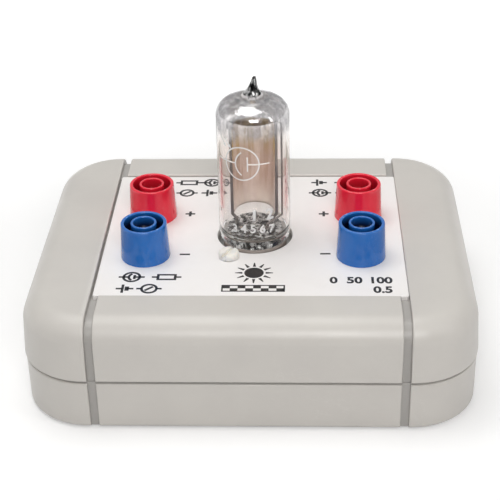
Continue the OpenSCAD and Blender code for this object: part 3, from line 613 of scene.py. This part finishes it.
# Grid of points in mm, rows by columns, to a mesh of quads whose columns close round. Doubles at poles and
# seams are merged.
def gridMesh(name, points, closedRows=True):
    rows, columns = points.shape[:2]
    index = np.arange(rows * columns).reshape(rows, columns)
    index = np.hstack([index, index[:, :1]])
    if closedRows:
        index = np.vstack([index, index[:1]])
    quads = stacked(index[:-1, :-1], index[:-1, 1:], index[1:, 1:], index[1:, :-1])
    mesh = bpy.data.meshes.new(name)
    mesh.from_pydata(points.reshape(-1, 3) * mm, [], quads.reshape(-1, 4).tolist())
    shape = bmesh.new()
    shape.from_mesh(mesh)
    bmesh.ops.remove_doubles(shape, verts=shape.verts, dist=0.0005 * mm)
    bmesh.ops.dissolve_degenerate(shape, edges=shape.edges, dist=0.0002 * mm)
    bmesh.ops.recalc_face_normals(shape, faces=shape.faces)
    shape.to_mesh(mesh)
    shape.free()
    mesh.shade_smooth()
    return mesh


def unit(vectors):
    return vectors / np.linalg.norm(vectors, axis=-1, keepdims=True)


# Corners, each with its radius last, to a line whose corners are arcs that touch both sides. It works in the
# plane and in space.
def filleted(corners, steps=6, closed=True):
    corners = np.array(corners, float)
    points, radii = corners[:, :-1], corners[:, -1]
    count = len(points)
    pieces = []
    for k in range(count):
        here = points[k]
        if radii[k] == 0 or (not closed and k in (0, count - 1)):
            pieces.append(here[None])
            continue
        back, ahead = points[k - 1] - here, points[(k + 1) % count] - here
        room = 0.49 * min(np.linalg.norm(back), np.linalg.norm(ahead))
        back, ahead = unit(back), unit(ahead)
        half = math.acos(np.clip(back @ ahead, -1, 1)) / 2
        cut = min(radii[k] / math.tan(half), room)
        reach = cut * math.tan(half)
        centre = here + unit(back + ahead) * reach / math.sin(half)
        first = (here + back * cut - centre) / reach
        last = (here + ahead * cut - centre) / reach
        across = unit(last - (last @ first) * first)
        turn = np.linspace(0, math.pi - 2 * half, steps + 1)[:, None]
        pieces.append(centre + reach * (np.cos(turn) * first + np.sin(turn) * across))
    return np.vstack(pieces)


# Closed line with extra points along its long stretches
def refined(line, step):
    pairs = zip(line, np.roll(line, -1, axis=0))
    counts = [(a, b, max(math.ceil(np.linalg.norm(b - a) / step), 1)) for a, b in pairs]
    return np.vstack([np.linspace(a, b, count, endpoint=False) for a, b, count in counts])


# Arc from one angle to another, in degrees, in the plane
def arc(x, y, radius, first, last, steps):
    turn = np.radians(np.linspace(first, last, steps))
    return stacked(x + radius * np.cos(turn), y + radius * np.sin(turn))


# Profile (radius, height) turned once round an upright axis
def turned(profile, centre, sides=144):
    turn = np.linspace(0, fullTurn, sides, endpoint=False)
    r, z = profile[:, :1], profile[:, 1:2]
    return stacked(centre[0] + r * np.cos(turn), centre[1] + r * np.sin(turn), z)


# Round wire: rings of points round a route and square to it. Its ends are half balls, made by rings whose
# radius falls to nearly nothing.
def wired(route, radius, across, sides=16, endRows=5, lastAngle=0.12):
    end = np.linspace(math.pi / 2, lastAngle, endRows)[:, None]
    lead, tail = unit(route[1] - route[0]), unit(route[-1] - route[-2])
    start = route[0] + (radius - radius * np.sin(end)) * lead
    finish = (route[-1] - (radius - radius * np.sin(end)) * tail)[::-1]
    line = np.vstack([start, route[1:-1], finish])
    closing = radius * np.cos(end[:, 0])
    size = np.concatenate([closing, np.full(len(route) - 2, radius), closing[::-1]])
    along = np.gradient(line, axis=0)
    along[:endRows], along[-endRows:] = lead, tail
    u = unit(np.cross(across, along))
    v = np.cross(unit(along), u)
    turn = np.linspace(0, fullTurn, sides, endpoint=False)
    rings = np.cos(turn)[None, :, None] * u[:, None] + np.sin(turn)[None, :, None] * v[:, None]
    return line[:, None] + size[:, None, None] * rings


# Sheet: an outline in plan drawn up through rows of heights, widened at each by its flare, and closed at both
# ends on its own middle line
def sheetMesh(name, outline, centre, heights, flare=0):
    swell = (1 + flare + 0 * heights)[:, None]
    x, y = centre[0] + outline[:, 0] * swell, centre[1] + outline[:, 1] * swell
    body = stacked(x, y, heights[:, None])
    middle = (body + body[:, ::-1]) / 2
    return gridMesh(name, np.concatenate([middle[:1], body, middle[-1:]]), closedRows=False)


# Merged copy of a node with flat areas cleaned up and its outer convex edges rounded; the rest stay crisp.
# Given a depth below the outer surface, its points also carry a painted-shade share from it: 0 outside, 1
# well inside, which darkens the colour in grooves and recesses in place of their shade.

rounding = {"sharpAngle": 30, "flatAngle": 0.6, "merge": 0.002, "shadeStart": 0.1, "shadeReach": 0.4}


def rounded(node, name, width, segments=3, outer=None, depth=None):
    shape = bmesh.new()
    shape.from_mesh(nodes[node].data)
    bmesh.ops.remove_doubles(shape, verts=shape.verts, dist=rounding["merge"] * mm)
    bmesh.ops.dissolve_limit(shape, angle_limit=math.radians(rounding["flatAngle"]), verts=shape.verts,
                             edges=shape.edges, delimit={"NORMAL"})
    bmesh.ops.recalc_face_normals(shape, faces=shape.faces)
    weight = shape.edges.layers.float.new("bevel_weight_edge")
    sharpAngle = math.radians(rounding["sharpAngle"])
    for edge in shape.edges:
        sharp = len(edge.link_faces) == 2 and edge.calc_face_angle(0) > sharpAngle
        middle = (edge.verts[0].co + edge.verts[1].co) / 2 / mm
        chosen = sharp and edge.is_convex and (outer is None or outer(middle))
        edge[weight] = 1.0 if chosen else 0.0
        edge.smooth = chosen or not sharp
    if depth:
        paintedShade = shape.verts.layers.float.new("paintedShade")
        for vertex in shape.verts:
            below = (depth(vertex.co / mm) - rounding["shadeStart"]) / rounding["shadeReach"]
            vertex[paintedShade] = min(max(below, 0), 1)
    mesh = bpy.data.meshes.new(name)
    shape.to_mesh(mesh)
    shape.free()
    mesh.shade_smooth()
    piece = addPiece(name, mesh, node)
    bevel = piece.modifiers.new("roundedEdges", "BEVEL")
    bevel.width = width * mm
    bevel.segments = segments
    bevel.limit_method = "WEIGHT"
    bevel.use_clamp_overlap = False
    bevel.miter_outer = "MITER_ARC"
    piece.modifiers.new("evenNormals", "WEIGHTED_NORMAL").keep_sharp = True


# Housing: two moulded shells and the white plate let into the upper one

shellForm = {"cornerRadius": 17.5, "lean": 0.6, "topRadius": 6.6, "skin": 0.15}
shellLow, shellHigh = boxOf("upper_shell")
lowerHigh = boxOf("lower_shell")[1]
panelTop = boxOf("panel_plate")[1][2]


# How far a point lies inside the upright outline of a box with round corners
def depthInside(point, halfWidth, halfDepth):
    radius = shellForm["cornerRadius"]
    x = max(abs(point[0]) - (halfWidth - radius), 0)
    y = max(abs(point[1]) - (halfDepth - radius), 0)
    return radius - math.hypot(x, y)


# The same below the upper shell's leaning wall and the arc over its edge
def upperDepth(point):
    f = shellForm
    arcFoot = shellHigh[2] - f["topRadius"]
    lean = f["lean"] * min(max((point[2] - shellLow[2]) / (arcFoot - shellLow[2]), 0), 1)
    inside = depthInside(point, shellHigh[0], shellHigh[1]) - lean
    return f["topRadius"] - math.hypot(max(f["topRadius"] - inside, 0), max(point[2] - arcFoot, 0))


def lowerDepth(point):
    return depthInside(point, lowerHigh[0], lowerHigh[1])


skin = shellForm["skin"]
rounded("upper_shell", "upperShell", 0.38, outer=lambda point: upperDepth(point) < skin, depth=upperDepth)
rounded("lower_shell", "lowerShell", 0.34, outer=lambda point: lowerDepth(point) < skin, depth=lowerDepth)
rounded("panel_plate", "panelPlate", 0.14, segments=2, outer=lambda point: point[2] > panelTop - 0.05)
rounded("tube_socket_body", "tubeSocketBody", 0.15, segments=2)
for place in ("front", "rear"):
    rounded(f"nylon_screw_{place}", f"nylonScrew{place.title()}", 0.22,
            outer=lambda point: point[2] > panelTop + 0.1)
rounded("glass_base", "glassBase", 0.3, outer=lambda point: point[2] < panelTop)
print("housing and screws rounded")


# Safety sockets: one turned section, from the bore round the neck, cap, well and inner ring

# Its last three values set the painted shade in the well and the ring's hole: where it starts under the top,
# how far down it grows full, and its curve
socketForm = {"rimRound": 0.32, "ringRound": 0.28, "wellRound": 0.35, "footRound": 0.12, "edge": 0.1,
              "rimWall": 0.9, "wellDepth": 8.6, "ringOuter": 3.4, "ringHole": 2.7, "bore": 2.52,
              "sleeveDrop": 3.0, "neck": 5.6, "neckLength": 14.5, "collar": 4.4, "capTop": 6.0,
              "step": 0.6, "shadeStart": 0.2, "shadeReach": 2.2, "shadePower": 0.7}


def socketSection(top, foot, bottom, baseRadius):
    f = socketForm
    well = top - f["wellDepth"]
    neckEnd = foot - f["neckLength"]
    sleeve = top - f["sleeveDrop"]
    rimInner = f["capTop"] - f["rimWall"]
    corners = [
        (f["bore"], bottom, f["edge"]), (f["collar"], bottom, f["edge"]),
        (f["collar"], neckEnd, f["edge"]), (f["neck"], neckEnd, f["edge"]),
        (f["neck"], foot, f["edge"]), (baseRadius, foot, f["footRound"]),
        (f["capTop"], top, f["rimRound"]), (rimInner, top, f["rimRound"]),
        (rimInner, well, f["wellRound"]), (f["ringOuter"], well, f["wellRound"]),
        (f["ringOuter"], top, f["ringRound"]), (f["ringHole"], top, f["ringRound"]),
        (f["ringHole"], sleeve, f["edge"]), (f["bore"], sleeve, f["edge"]),
    ]
    return refined(filleted(corners), f["step"])


# Vertex attribute of painted shade: 0 outside, 1 deep in the well and in the ring's hole, where the colour is
# darkened to stand in for their shade
def markPaintedShade(mesh, centre, top):
    f = socketForm
    points = pointsOf(mesh) / mm
    inside = np.hypot(*(points[:, :2] - centre).T) < f["capTop"] - f["rimWall"] + 0.05
    share = np.clip((top - f["shadeStart"] - points[:, 2]) / f["shadeReach"], 0, 1)
    attribute = mesh.attributes.new("paintedShade", "FLOAT", "POINT")
    attribute.data.foreach_set("value", (share ** f["shadePower"] * inside).astype(np.float32))


for colour in ("red", "blue"):
    for side in ("left", "right"):
        node = f"socket_body_{colour}_{side}"
        low, high = boxOf(node)
        section = socketSection(high[2], panelTop, low[2], (high[0] - low[0]) / 2)
        centre = (low + high)[:2] / 2
        mesh = gridMesh(node, turned(section, centre, 128))
        markPaintedShade(mesh, centre, high[2])
        addPiece(f"socket{colour.title()}{side.title()}", mesh, node)
print("sockets turned")


# Glass bulb: outer and inner wall are one closed section turned round the tube's axis

# The neck's corners run from inside the dome round the knot and up the bore. Each row is radius, the level
# that its height counts from, height above it, and rounding.
bulbForm = {
    "wall": 0.9, "shoulder": 4.0, "dome": 5.2, "heel": 1.9, "heelStep": 0.3, "mouth": 7.4, "baseRise": 3.0,
    "neckFoot": 4.4, "knot": 2.2, "neckSteps": 8,
    "neck": (
        (4.41, "dome", 0, 0), (2.6, "knot", 0, 1.6), (1.1, "knot", 0.3, 0.8), (0.8, "crown", 0.4, 2.0),
        (0.35, "crown", 2.4, 0.3), (0, "crown", 2.6, 0),
    ),
    "filmGap": 0.08, "film": 0.04, "filmFoot": 26,
}
tipForm = {"foot": 2.7, "end": 0.6, "height": 5.1, "flank": 14.0, "lean": 0.7, "leanPower": 1.5,
           "pull": 0.06, "oval": 0.05, "ovalTwist": 1.1, "three": 0.035, "threeTwist": -0.8,
           "fadeStart": -0.2, "fadeIn": 1.6, "fadeOut": 1.2, "lining": (0.22, 0.25),
           "liningEnds": (0.3, 0.15)}
tubeAxis = (bulbLow + bulbHigh)[:2] / 2
bulbRadius = (bulbHigh[0] - bulbLow[0]) / 2
seatZ = bulbLow[2]
crownZ = bulbHigh[2] - tipForm["height"]


# Wall, shoulder arc and crown arc, set in by a gap, from the given height up to the radius given last
def wallSection(gap, bottom, inner):
    f = bulbForm
    c = bulbRadius - f["shoulder"]
    wallTop = crownZ - f["dome"]
    crown = (c * c + f["dome"] ** 2 - f["shoulder"] ** 2) / (2 * (f["dome"] - f["shoulder"]))
    crownMiddle = crownZ - crown
    meet = math.degrees(math.atan2(wallTop - crownMiddle, c))
    side = stacked(bulbRadius - gap, np.linspace(bottom, wallTop, 24))
    shoulder = arc(c, wallTop, f["shoulder"] - gap, 0, meet, 14)[1:]
    end = math.degrees(math.acos(inner / (crown - gap)))
    top = arc(0, crownMiddle, crown - gap, meet, end, 12)[1:]
    return np.vstack([side, shoulder, top])


# Concave flank between the dome and the rounded end of the tip
def tipSection():
    f = tipForm
    rise, run = f["height"] - f["end"], f["foot"] - f["end"]
    chord = math.hypot(rise, run)
    out = math.sqrt(f["flank"] ** 2 - chord * chord / 4)
    x = (f["foot"] + f["end"]) / 2 + out * rise / chord
    z = crownZ + rise / 2 + out * run / chord
    first = math.degrees(math.atan2(crownZ - z, f["foot"] - x)) % 360
    last = math.degrees(math.atan2(crownZ + rise - z, f["end"] - x)) % 360
    flank = arc(x, z, f["flank"], first, last, 18)
    return np.vstack([flank, arc(0, crownZ + rise, f["end"], 10, 90, 8)])


# The drawn-off tip leans, more with height, and isn't quite round: its radius shrinks by an even share and by
# a wave of two and a wave of three round the axis, which twist with height. All three fade out at both ends.
def pulledTip(points):
    f = tipForm
    x, y = points[..., 0] - tubeAxis[0], points[..., 1] - tubeAxis[1]
    z = points[..., 2]
    rising = np.clip((z - crownZ - f["fadeStart"]) / f["fadeIn"], 0, 1)
    share = rising * np.clip((bulbHigh[2] - z) / f["fadeOut"], 0, 1)
    turn = np.arctan2(y, x)
    two = f["oval"] * np.cos(2 * turn + f["ovalTwist"] * z)
    three = f["three"] * np.cos(3 * turn + f["threeTwist"] * z)
    pull = 1 - share * (f["pull"] + two + three)
    lean = f["lean"] * np.clip((z - crownZ) / f["height"], 0, 1) ** f["leanPower"]
    return stacked(tubeAxis[0] + x * pull + lean, tubeAxis[1] + y * pull, z)


def makeBulb():
    f = bulbForm
    heel = arc(bulbRadius - f["heel"], seatZ + f["heel"], f["heel"], -90, 0, 12)
    outer = wallSection(0, seatZ + f["heel"] + f["heelStep"], tipForm["foot"])
    tip = tipSection()
    baseTop = seatZ + f["baseRise"]
    inner = wallSection(f["wall"], baseTop, f["neckFoot"])
    domeZ = inner[-1][1]
    levels = {"dome": domeZ, "knot": domeZ - f["knot"], "crown": crownZ}
    corners = [(radius, levels[level] + rise, bend) for radius, level, rise, bend in f["neck"]]
    neck = filleted(corners, f["neckSteps"], closed=False)
    rim = np.array([[f["mouth"], baseTop], [f["mouth"], seatZ]])
    section = np.vstack([heel, outer, tip[1:-1], [[0, bulbHigh[2]]], neck[::-1], inner[::-1][1:], rim])
    return gridMesh("glassBulb", pulledTip(turned(section, tubeAxis)))


# Closed thin layer just under the glass's skin, from below the dome up to the tip's foot. The wall's lens
# effect makes the film on its inner side fill the whole outline, so it is drawn out there.
def makeDomeFilm():
    f = bulbForm
    near, far = (wallSection(gap, seatZ + f["filmFoot"], tipForm["foot"] + 0.1)
                 for gap in (f["filmGap"], f["filmGap"] + f["film"]))
    return gridMesh("domeFilm", turned(np.vstack([near, far[::-1]]), tubeAxis))


# Mirror lining of the drawn-off tip, a little inside its skin and closed on the axis at both ends
def makeTipFilm():
    wall = tipSection()[2:-4] - tipForm["lining"]
    under, over = tipForm["liningEnds"]
    lining = np.vstack([[[0, wall[0][1] + under]], wall, [[0, wall[-1][1] + over]]])
    return gridMesh("tipFilm", pulledTip(turned(lining, tubeAxis, 96)), closedRows=False)


addPiece("glassBulb", makeBulb(), "glass_bulb")
addPiece("domeFilm", makeDomeFilm(), finish="mirrorFilm")
addPiece("tipFilm", makeTipFilm(), finish="tipFilm")
print("bulb blown")


# Electrodes: half-round cathode with edges curled round its two rods, anode wire and getter flag

electrodes = {"cathodeRadius": 5.5, "sheet": 0.25, "curl": 0.52, "curlArc": (180, 205), "flare": 0.004,
              "flareRange": 0.5, "rod": 0.4, "rodX": 5.92, "pinCircle": 4.765, "rodFoot": 0.8, "rodBend": 0.6,
              "rodOver": 1.2, "anodeX": 7.3, "anodeY": 1.5, "anode": 0.25, "anodeFoot": 0.9, "anodeOver": 1.4,
              "hookRun": 1.1, "hookRise": 0.5, "flagWidth": 1.6, "flagBow": 0.05, "flagSheet": 0.18,
              "flagGap": 0.02}
footZ, headZ = (corner[2] for corner in boxOf("cathode_plate"))
pinTopZ = boxOf("base_pin_1")[1][2]
sideways = np.array([0, 1.0, 0])


# Plan of the sheet's face, set out from its middle: a half circle whose two ends curl on round the rods
def cathodePlan(offset):
    e = electrodes
    back = arc(0, 0, e["cathodeRadius"] - e["sheet"] / 2 + offset, 180, 0, 61)
    right = arc(e["rodX"], 0, e["curl"] + offset, *e["curlArc"], 4)
    left = right[::-1] * (-1, 1)
    return np.vstack([left, back, right])


# The sheet flares a little at its lower and upper edge
def makeCathode():
    e = electrodes
    outline = np.vstack([cathodePlan(e["sheet"] / 2), cathodePlan(-e["sheet"] / 2)[::-1]])
    heights = np.linspace(footZ, headZ, 40)
    fromEnd = np.minimum(heights - footZ, headZ - heights)
    flare = e["flare"] * np.clip(1 - fromEnd / e["flareRange"], 0, 1)
    return sheetMesh("cathodePlate", outline, tubeAxis, heights, flare)


def wireMesh(name, points, radius):
    corners = [(tubeAxis[0] + x, tubeAxis[1] + y, z, electrodes["rodBend"]) for x, y, z in points]
    return gridMesh(name, wired(filleted(corners, closed=False), radius, sideways), closedRows=False)


def makeRod(side):
    e = electrodes
    pinX, rodX = side * e["pinCircle"], side * e["rodX"]
    points = [(pinX, 0, pinTopZ), (pinX, 0, pinTopZ + e["rodFoot"]),
              (rodX, 0, footZ - e["rodBend"]), (rodX, 0, headZ + e["rodOver"])]
    return wireMesh("cathodeRod", points, e["rod"])


def makeAnode():
    e = electrodes
    foot = e["pinCircle"] * math.cos(math.pi / 4)
    x, y, top = e["anodeX"], -e["anodeY"], headZ + e["anodeOver"]
    points = [(foot, -foot, pinTopZ), (foot, -foot, pinTopZ + e["anodeFoot"]), (x, y, footZ), (x, y, top),
              (x - e["hookRun"], y, top + e["hookRise"])]
    return wireMesh("anodeWire", points, e["anode"])


# Getter flag: a small sheet in front of the left rod, bowed by a parabola over its width
def makeFlag():
    e = electrodes
    low, high = boxOf("getter_flag")
    u = np.linspace(-1, 1, 13)
    x, back = u * e["flagWidth"] / 2, -e["rod"] - e["flagGap"]
    front = stacked(x, back - e["flagSheet"] + e["flagBow"] * (1 - u * u))
    outline = np.vstack([front, stacked(x[::-1], back)])
    return sheetMesh("getterFlag", outline, tubeAxis - (e["rodX"], 0), np.linspace(low[2], high[2], 9))


addPiece("cathodePlate", makeCathode(), "cathode_plate")
addPiece("cathodeRodLeft", makeRod(-1), "cathode_rod_left")
addPiece("cathodeRodRight", makeRod(1), "cathode_rod_right")
addPiece("anodeWire", makeAnode(), "anode_wire")
addPiece("getterFlag", makeFlag(), "getter_flag")
print("electrodes placed")


# Printed marks are lists of flat meshes in mm: ribbons, filled outlines and figures

# Stroke of even width: each point of a line goes out to both sides, square to the middle of its two
# directions, by half the width over the cosine of half the bend
def ribbon(line, width, closed=False):
    line = np.array(line, float)
    ahead = np.roll(line, -1, axis=0) - line
    back = line - np.roll(line, 1, axis=0)
    if not closed:
        ahead[-1], back[0] = back[-1], ahead[0]
    ahead = unit(ahead)
    mitre = unit(ahead + unit(back))
    normal = stacked(-mitre[:, 1], mitre[:, 0])
    reach = width / 2 / np.clip((mitre * ahead).sum(1), 0.5, 1)[:, None]
    band = np.hstack([line - normal * reach, line + normal * reach]).reshape(-1, 2)
    index = np.arange(len(band)).reshape(-1, 2)
    if closed:
        index = np.vstack([index, index[:1]])
    quads = stacked(index[:-1, 0], index[1:, 0], index[1:, 1], index[:-1, 1])
    return flatMesh(band, quads.tolist())


# Flat marks to a thin closed layer of ink, which a function then lays on its surface. Ink for a curved
# surface is given a length, and its longer edges get extra points.
def inkMesh(name, flats, thickness, laid, longEdge=None):
    shape = bmesh.new()
    for flat in flats:
        shape.from_mesh(flat)
        bpy.data.meshes.remove(flat)
    for face in shape.faces:
        face.normal_update()
        if face.normal.z < 0:
            face.normal_flip()
    if longEdge:
        bmesh.ops.triangulate(shape, faces=shape.faces)
        longEdges = [edge for edge in shape.edges if edge.calc_length() > longEdge]
        bmesh.ops.subdivide_edges(shape, edges=longEdges, cuts=2, use_grid_fill=True)
    raised = bmesh.ops.extrude_face_region(shape, geom=list(shape.faces))["geom"]
    top = [item for item in raised if isinstance(item, bmesh.types.BMVert)]
    bmesh.ops.translate(shape, verts=top, vec=(0, 0, thickness))
    bmesh.ops.recalc_face_normals(shape, faces=shape.faces)
    mesh = bpy.data.meshes.new(name)
    shape.to_mesh(mesh)
    shape.free()
    mesh.vertices.foreach_set("co", (laid(pointsOf(mesh)) * mm).ravel())
    mesh.update()
    return mesh


# Plain figures with their left foot at x, y
def figures(text, x, y, size, bold):
    curve = bpy.data.curves.new("figures", "FONT")
    curve.body = text
    curve.size = size
    curve.offset = bold * size
    curve.resolution_u = 4
    holder = addObject("figures", curve)
    bpy.context.view_layer.update()
    mesh = bpy.data.meshes.new_from_object(holder.evaluated_get(bpy.context.evaluated_depsgraph_get()))
    bpy.data.objects.remove(holder)
    bpy.data.curves.remove(curve)
    mesh.transform(Matrix.Translation((x, y, 0)))
    return mesh


def circle(x, y, radius, steps=48):
    return arc(x, y, radius, 0, 360, steps + 1)[:-1]


# Circuit signs, each drawn from its own middle, with a lead at both sides

def leads(x, y, inner, outer, width):
    return [ribbon([(x + side * inner, y), (x + side * outer, y)], width) for side in (-1, 1)]


def upright(x, y, half, width):
    return ribbon([(x, y - half), (x, y + half)], width)


def phototubeSign(x, y, radius, width):
    anode = radius * 0.35
    return [ribbon(circle(x, y, radius), width, True), upright(x + anode, y, radius * 0.45, width),
            ribbon(arc(x + radius * 0.5, y, radius * 0.85, 125, 235, 15), width),
            *leads(x, y, anode, radius * 1.6, width)]


def resistorSign(x, y, length, width):
    half, tall = length / 2, length / 4
    return [ribbon(oblong(x - half, y - tall, x + half, y + tall), width, True),
            *leads(x, y, half, half + 1.6, width)]


def cellSign(x, y, height, width, gap=0.55):
    return [upright(x - gap, y, height / 2, width), upright(x + gap, y, height / 4, width * 1.6),
            *leads(x, y, gap, gap + 1.7, width)]


def meterSign(x, y, radius, width):
    needle = [(x - radius * 0.55, y - radius * 0.45), (x + radius * 0.5, y + radius * 0.5)]
    return [ribbon(circle(x, y, radius), width, True), ribbon(needle, width),
            *leads(x, y, radius, radius * 1.7, width)]


def rayArrow(x, y, length, turn, width, wing=0.9, spread=0.5):
    tip = np.array([x + length * math.cos(turn), y + length * math.sin(turn)])
    wings = [tip - wing * np.array([math.cos(turn + a), math.sin(turn + a)]) for a in (spread, -spread)]
    return [ribbon([(x, y), tip], width), ribbon([wings[0], tip, wings[1]], width)]


# Plain sun: a disc with tapered rays
def sunSign(x, y, radius, reach, rays=12, foot=0.42, end=0.12, gap=0.5):
    middle = np.array([x, y])
    shapes = [filled(circle(x, y, radius, 40))]
    for turn in np.linspace(0, fullTurn, rays, endpoint=False):
        along, across = np.array([(math.cos(turn), math.sin(turn)), (-math.sin(turn), math.cos(turn))])
        inner, outer = middle + along * (radius + gap), middle + along * reach
        shapes.append(filled([inner - across * foot, outer - across * end, outer + across * end,
                              inner + across * foot]))
    return shapes


# Plain bar scale: two rows of alternate blocks in a frame
def barScale(x0, y0, x1, y1, cells, width):
    edges = np.linspace(x0, x1, cells + 1)
    middle = (y0 + y1) / 2
    rows = [(y0, middle) if k % 2 else (middle, y1) for k in range(cells)]
    blocks = [filled(oblong(edges[k], rows[k][0], edges[k + 1], rows[k][1])) for k in range(cells)]
    return [ribbon(oblong(x0, y0, x1, y1), width, True)] + blocks


# Panel print, in mm from the unit's middle. Signs are rows of kind, x, y and size; figures of text, x and y.

panelMarks = {
    "bold": 0.68, "polarity": 0.7, "polarityArm": 1.35, "ink": 0.03, "gap": 0.004,
    "plus": ((-17.75, 9.25), (19.27, 9.22)), "minus": ((-17.6, -12.46), (19.4, -12.1)),
    "signs": (
        (phototubeSign, -30.4, -23.7, 2.1), (resistorSign, -21.4, -23.7, 4.4),
        (cellSign, -31.6, -29.2, 3.8), (meterSign, -25.4, -29.2, 1.9),
        (resistorSign, -19.4, 27.6, 4.4), (phototubeSign, -12.8, 27.6, 2.0),
        (meterSign, -19.6, 21.4, 1.8), (cellSign, -13.2, 21.4, 3.8),
        (cellSign, 18.2, 27.6, 3.8), (resistorSign, 26.4, 27.6, 4.4),
        (phototubeSign, 18.4, 21.4, 2.0), (meterSign, 25.8, 21.4, 1.8),
    ),
    "figures": (("0", 20.3, -26.4), ("50", 24.6, -26.4), ("100", 30.2, -26.4), ("0.5", 31.2, -30.8)),
    "figureSize": 4.0, "figureBold": 0.035,
    "sun": (0.95, -21.6, 2.5, 4.9), "scale": (-6.9, -30.3, 8.8, -27.6, 8, 0.4),
}


def onPanel(points):
    return points + (0, 0, panelTop + panelMarks["gap"])


def makePanelMarks():
    m = panelMarks
    arm, thin = m["polarityArm"], m["polarity"]
    flats = sunSign(*m["sun"]) + barScale(*m["scale"])
    for x, y in m["plus"] + m["minus"]:
        flats.append(ribbon([(x - arm, y), (x + arm, y)], thin))
    for x, y in m["plus"]:
        flats += [ribbon([(x, y + side * arm), (x, y + side * thin / 2)], thin) for side in (-1, 1)]
    for sign, x, y, size in m["signs"]:
        flats += sign(x, y, size, m["bold"])
    flats += [figures(text, x, y, m["figureSize"], m["figureBold"]) for text, x, y in m["figures"]]
    return inkMesh("panelMarks", flats, m["ink"], onPanel)


addPiece("panelMarks", makePanelMarks(), finish="panelInk")
print("panel printed")


# Frosted marks wrapped round the glass, in mm along the wall from its front and above the seat: a plain tube
# sign with two rays, a bent low row of figures and two larger ones above it

glassMarks = {
    "ink": 0.02, "gap": 0.012, "longEdge": 0.5,
    "sign": {"x": -2.8, "y": 26.2, "radius": 4.6, "width": 0.36},
    "rays": {"x": (-9.4, -7.7), "y": 32.6, "length": 3.0, "turn": -52, "width": 0.3},
    "rows": (
        {"first": 3, "last": 7, "x": -5.9, "y": 6.2, "step": 2.5, "bend": 0.1, "size": 3.3, "bold": 0.025},
        {"first": 1, "last": 2, "x": -0.8, "y": 9.9, "step": 4.1, "bend": 0, "size": 4.4, "bold": 0.04},
    ),
}


def onGlass(points):
    r = bulbRadius + glassMarks["gap"] + points[:, 2]
    turn = points[:, 0] / bulbRadius - math.pi / 2
    return stacked(tubeAxis[0] + r * np.cos(turn), tubeAxis[1] + r * np.sin(turn), points[:, 1])


# Row of figures from the first number to the last, each lower by the bend times its squared distance from
# the middle
def figureRow(row):
    middle = (row["last"] - row["first"]) / 2
    return [figures(str(row["first"] + k), row["x"] + row["step"] * k,
                    seatZ + row["y"] - row["bend"] * (k - middle) ** 2, row["size"], row["bold"])
            for k in range(row["last"] - row["first"] + 1)]


def makeGlassMarks():
    sign, rays = glassMarks["sign"], glassMarks["rays"]
    flats = phototubeSign(sign["x"], seatZ + sign["y"], sign["radius"], sign["width"])
    for x in rays["x"]:
        flats += rayArrow(x, seatZ + rays["y"], rays["length"], math.radians(rays["turn"]), rays["width"])
    for row in glassMarks["rows"]:
        flats += figureRow(row)
    return inkMesh("bulbMarks", flats, glassMarks["ink"], onGlass, glassMarks["longEdge"])


addPiece("bulbMarks", makeGlassMarks(), finish="frostInk")
print("bulb printed")
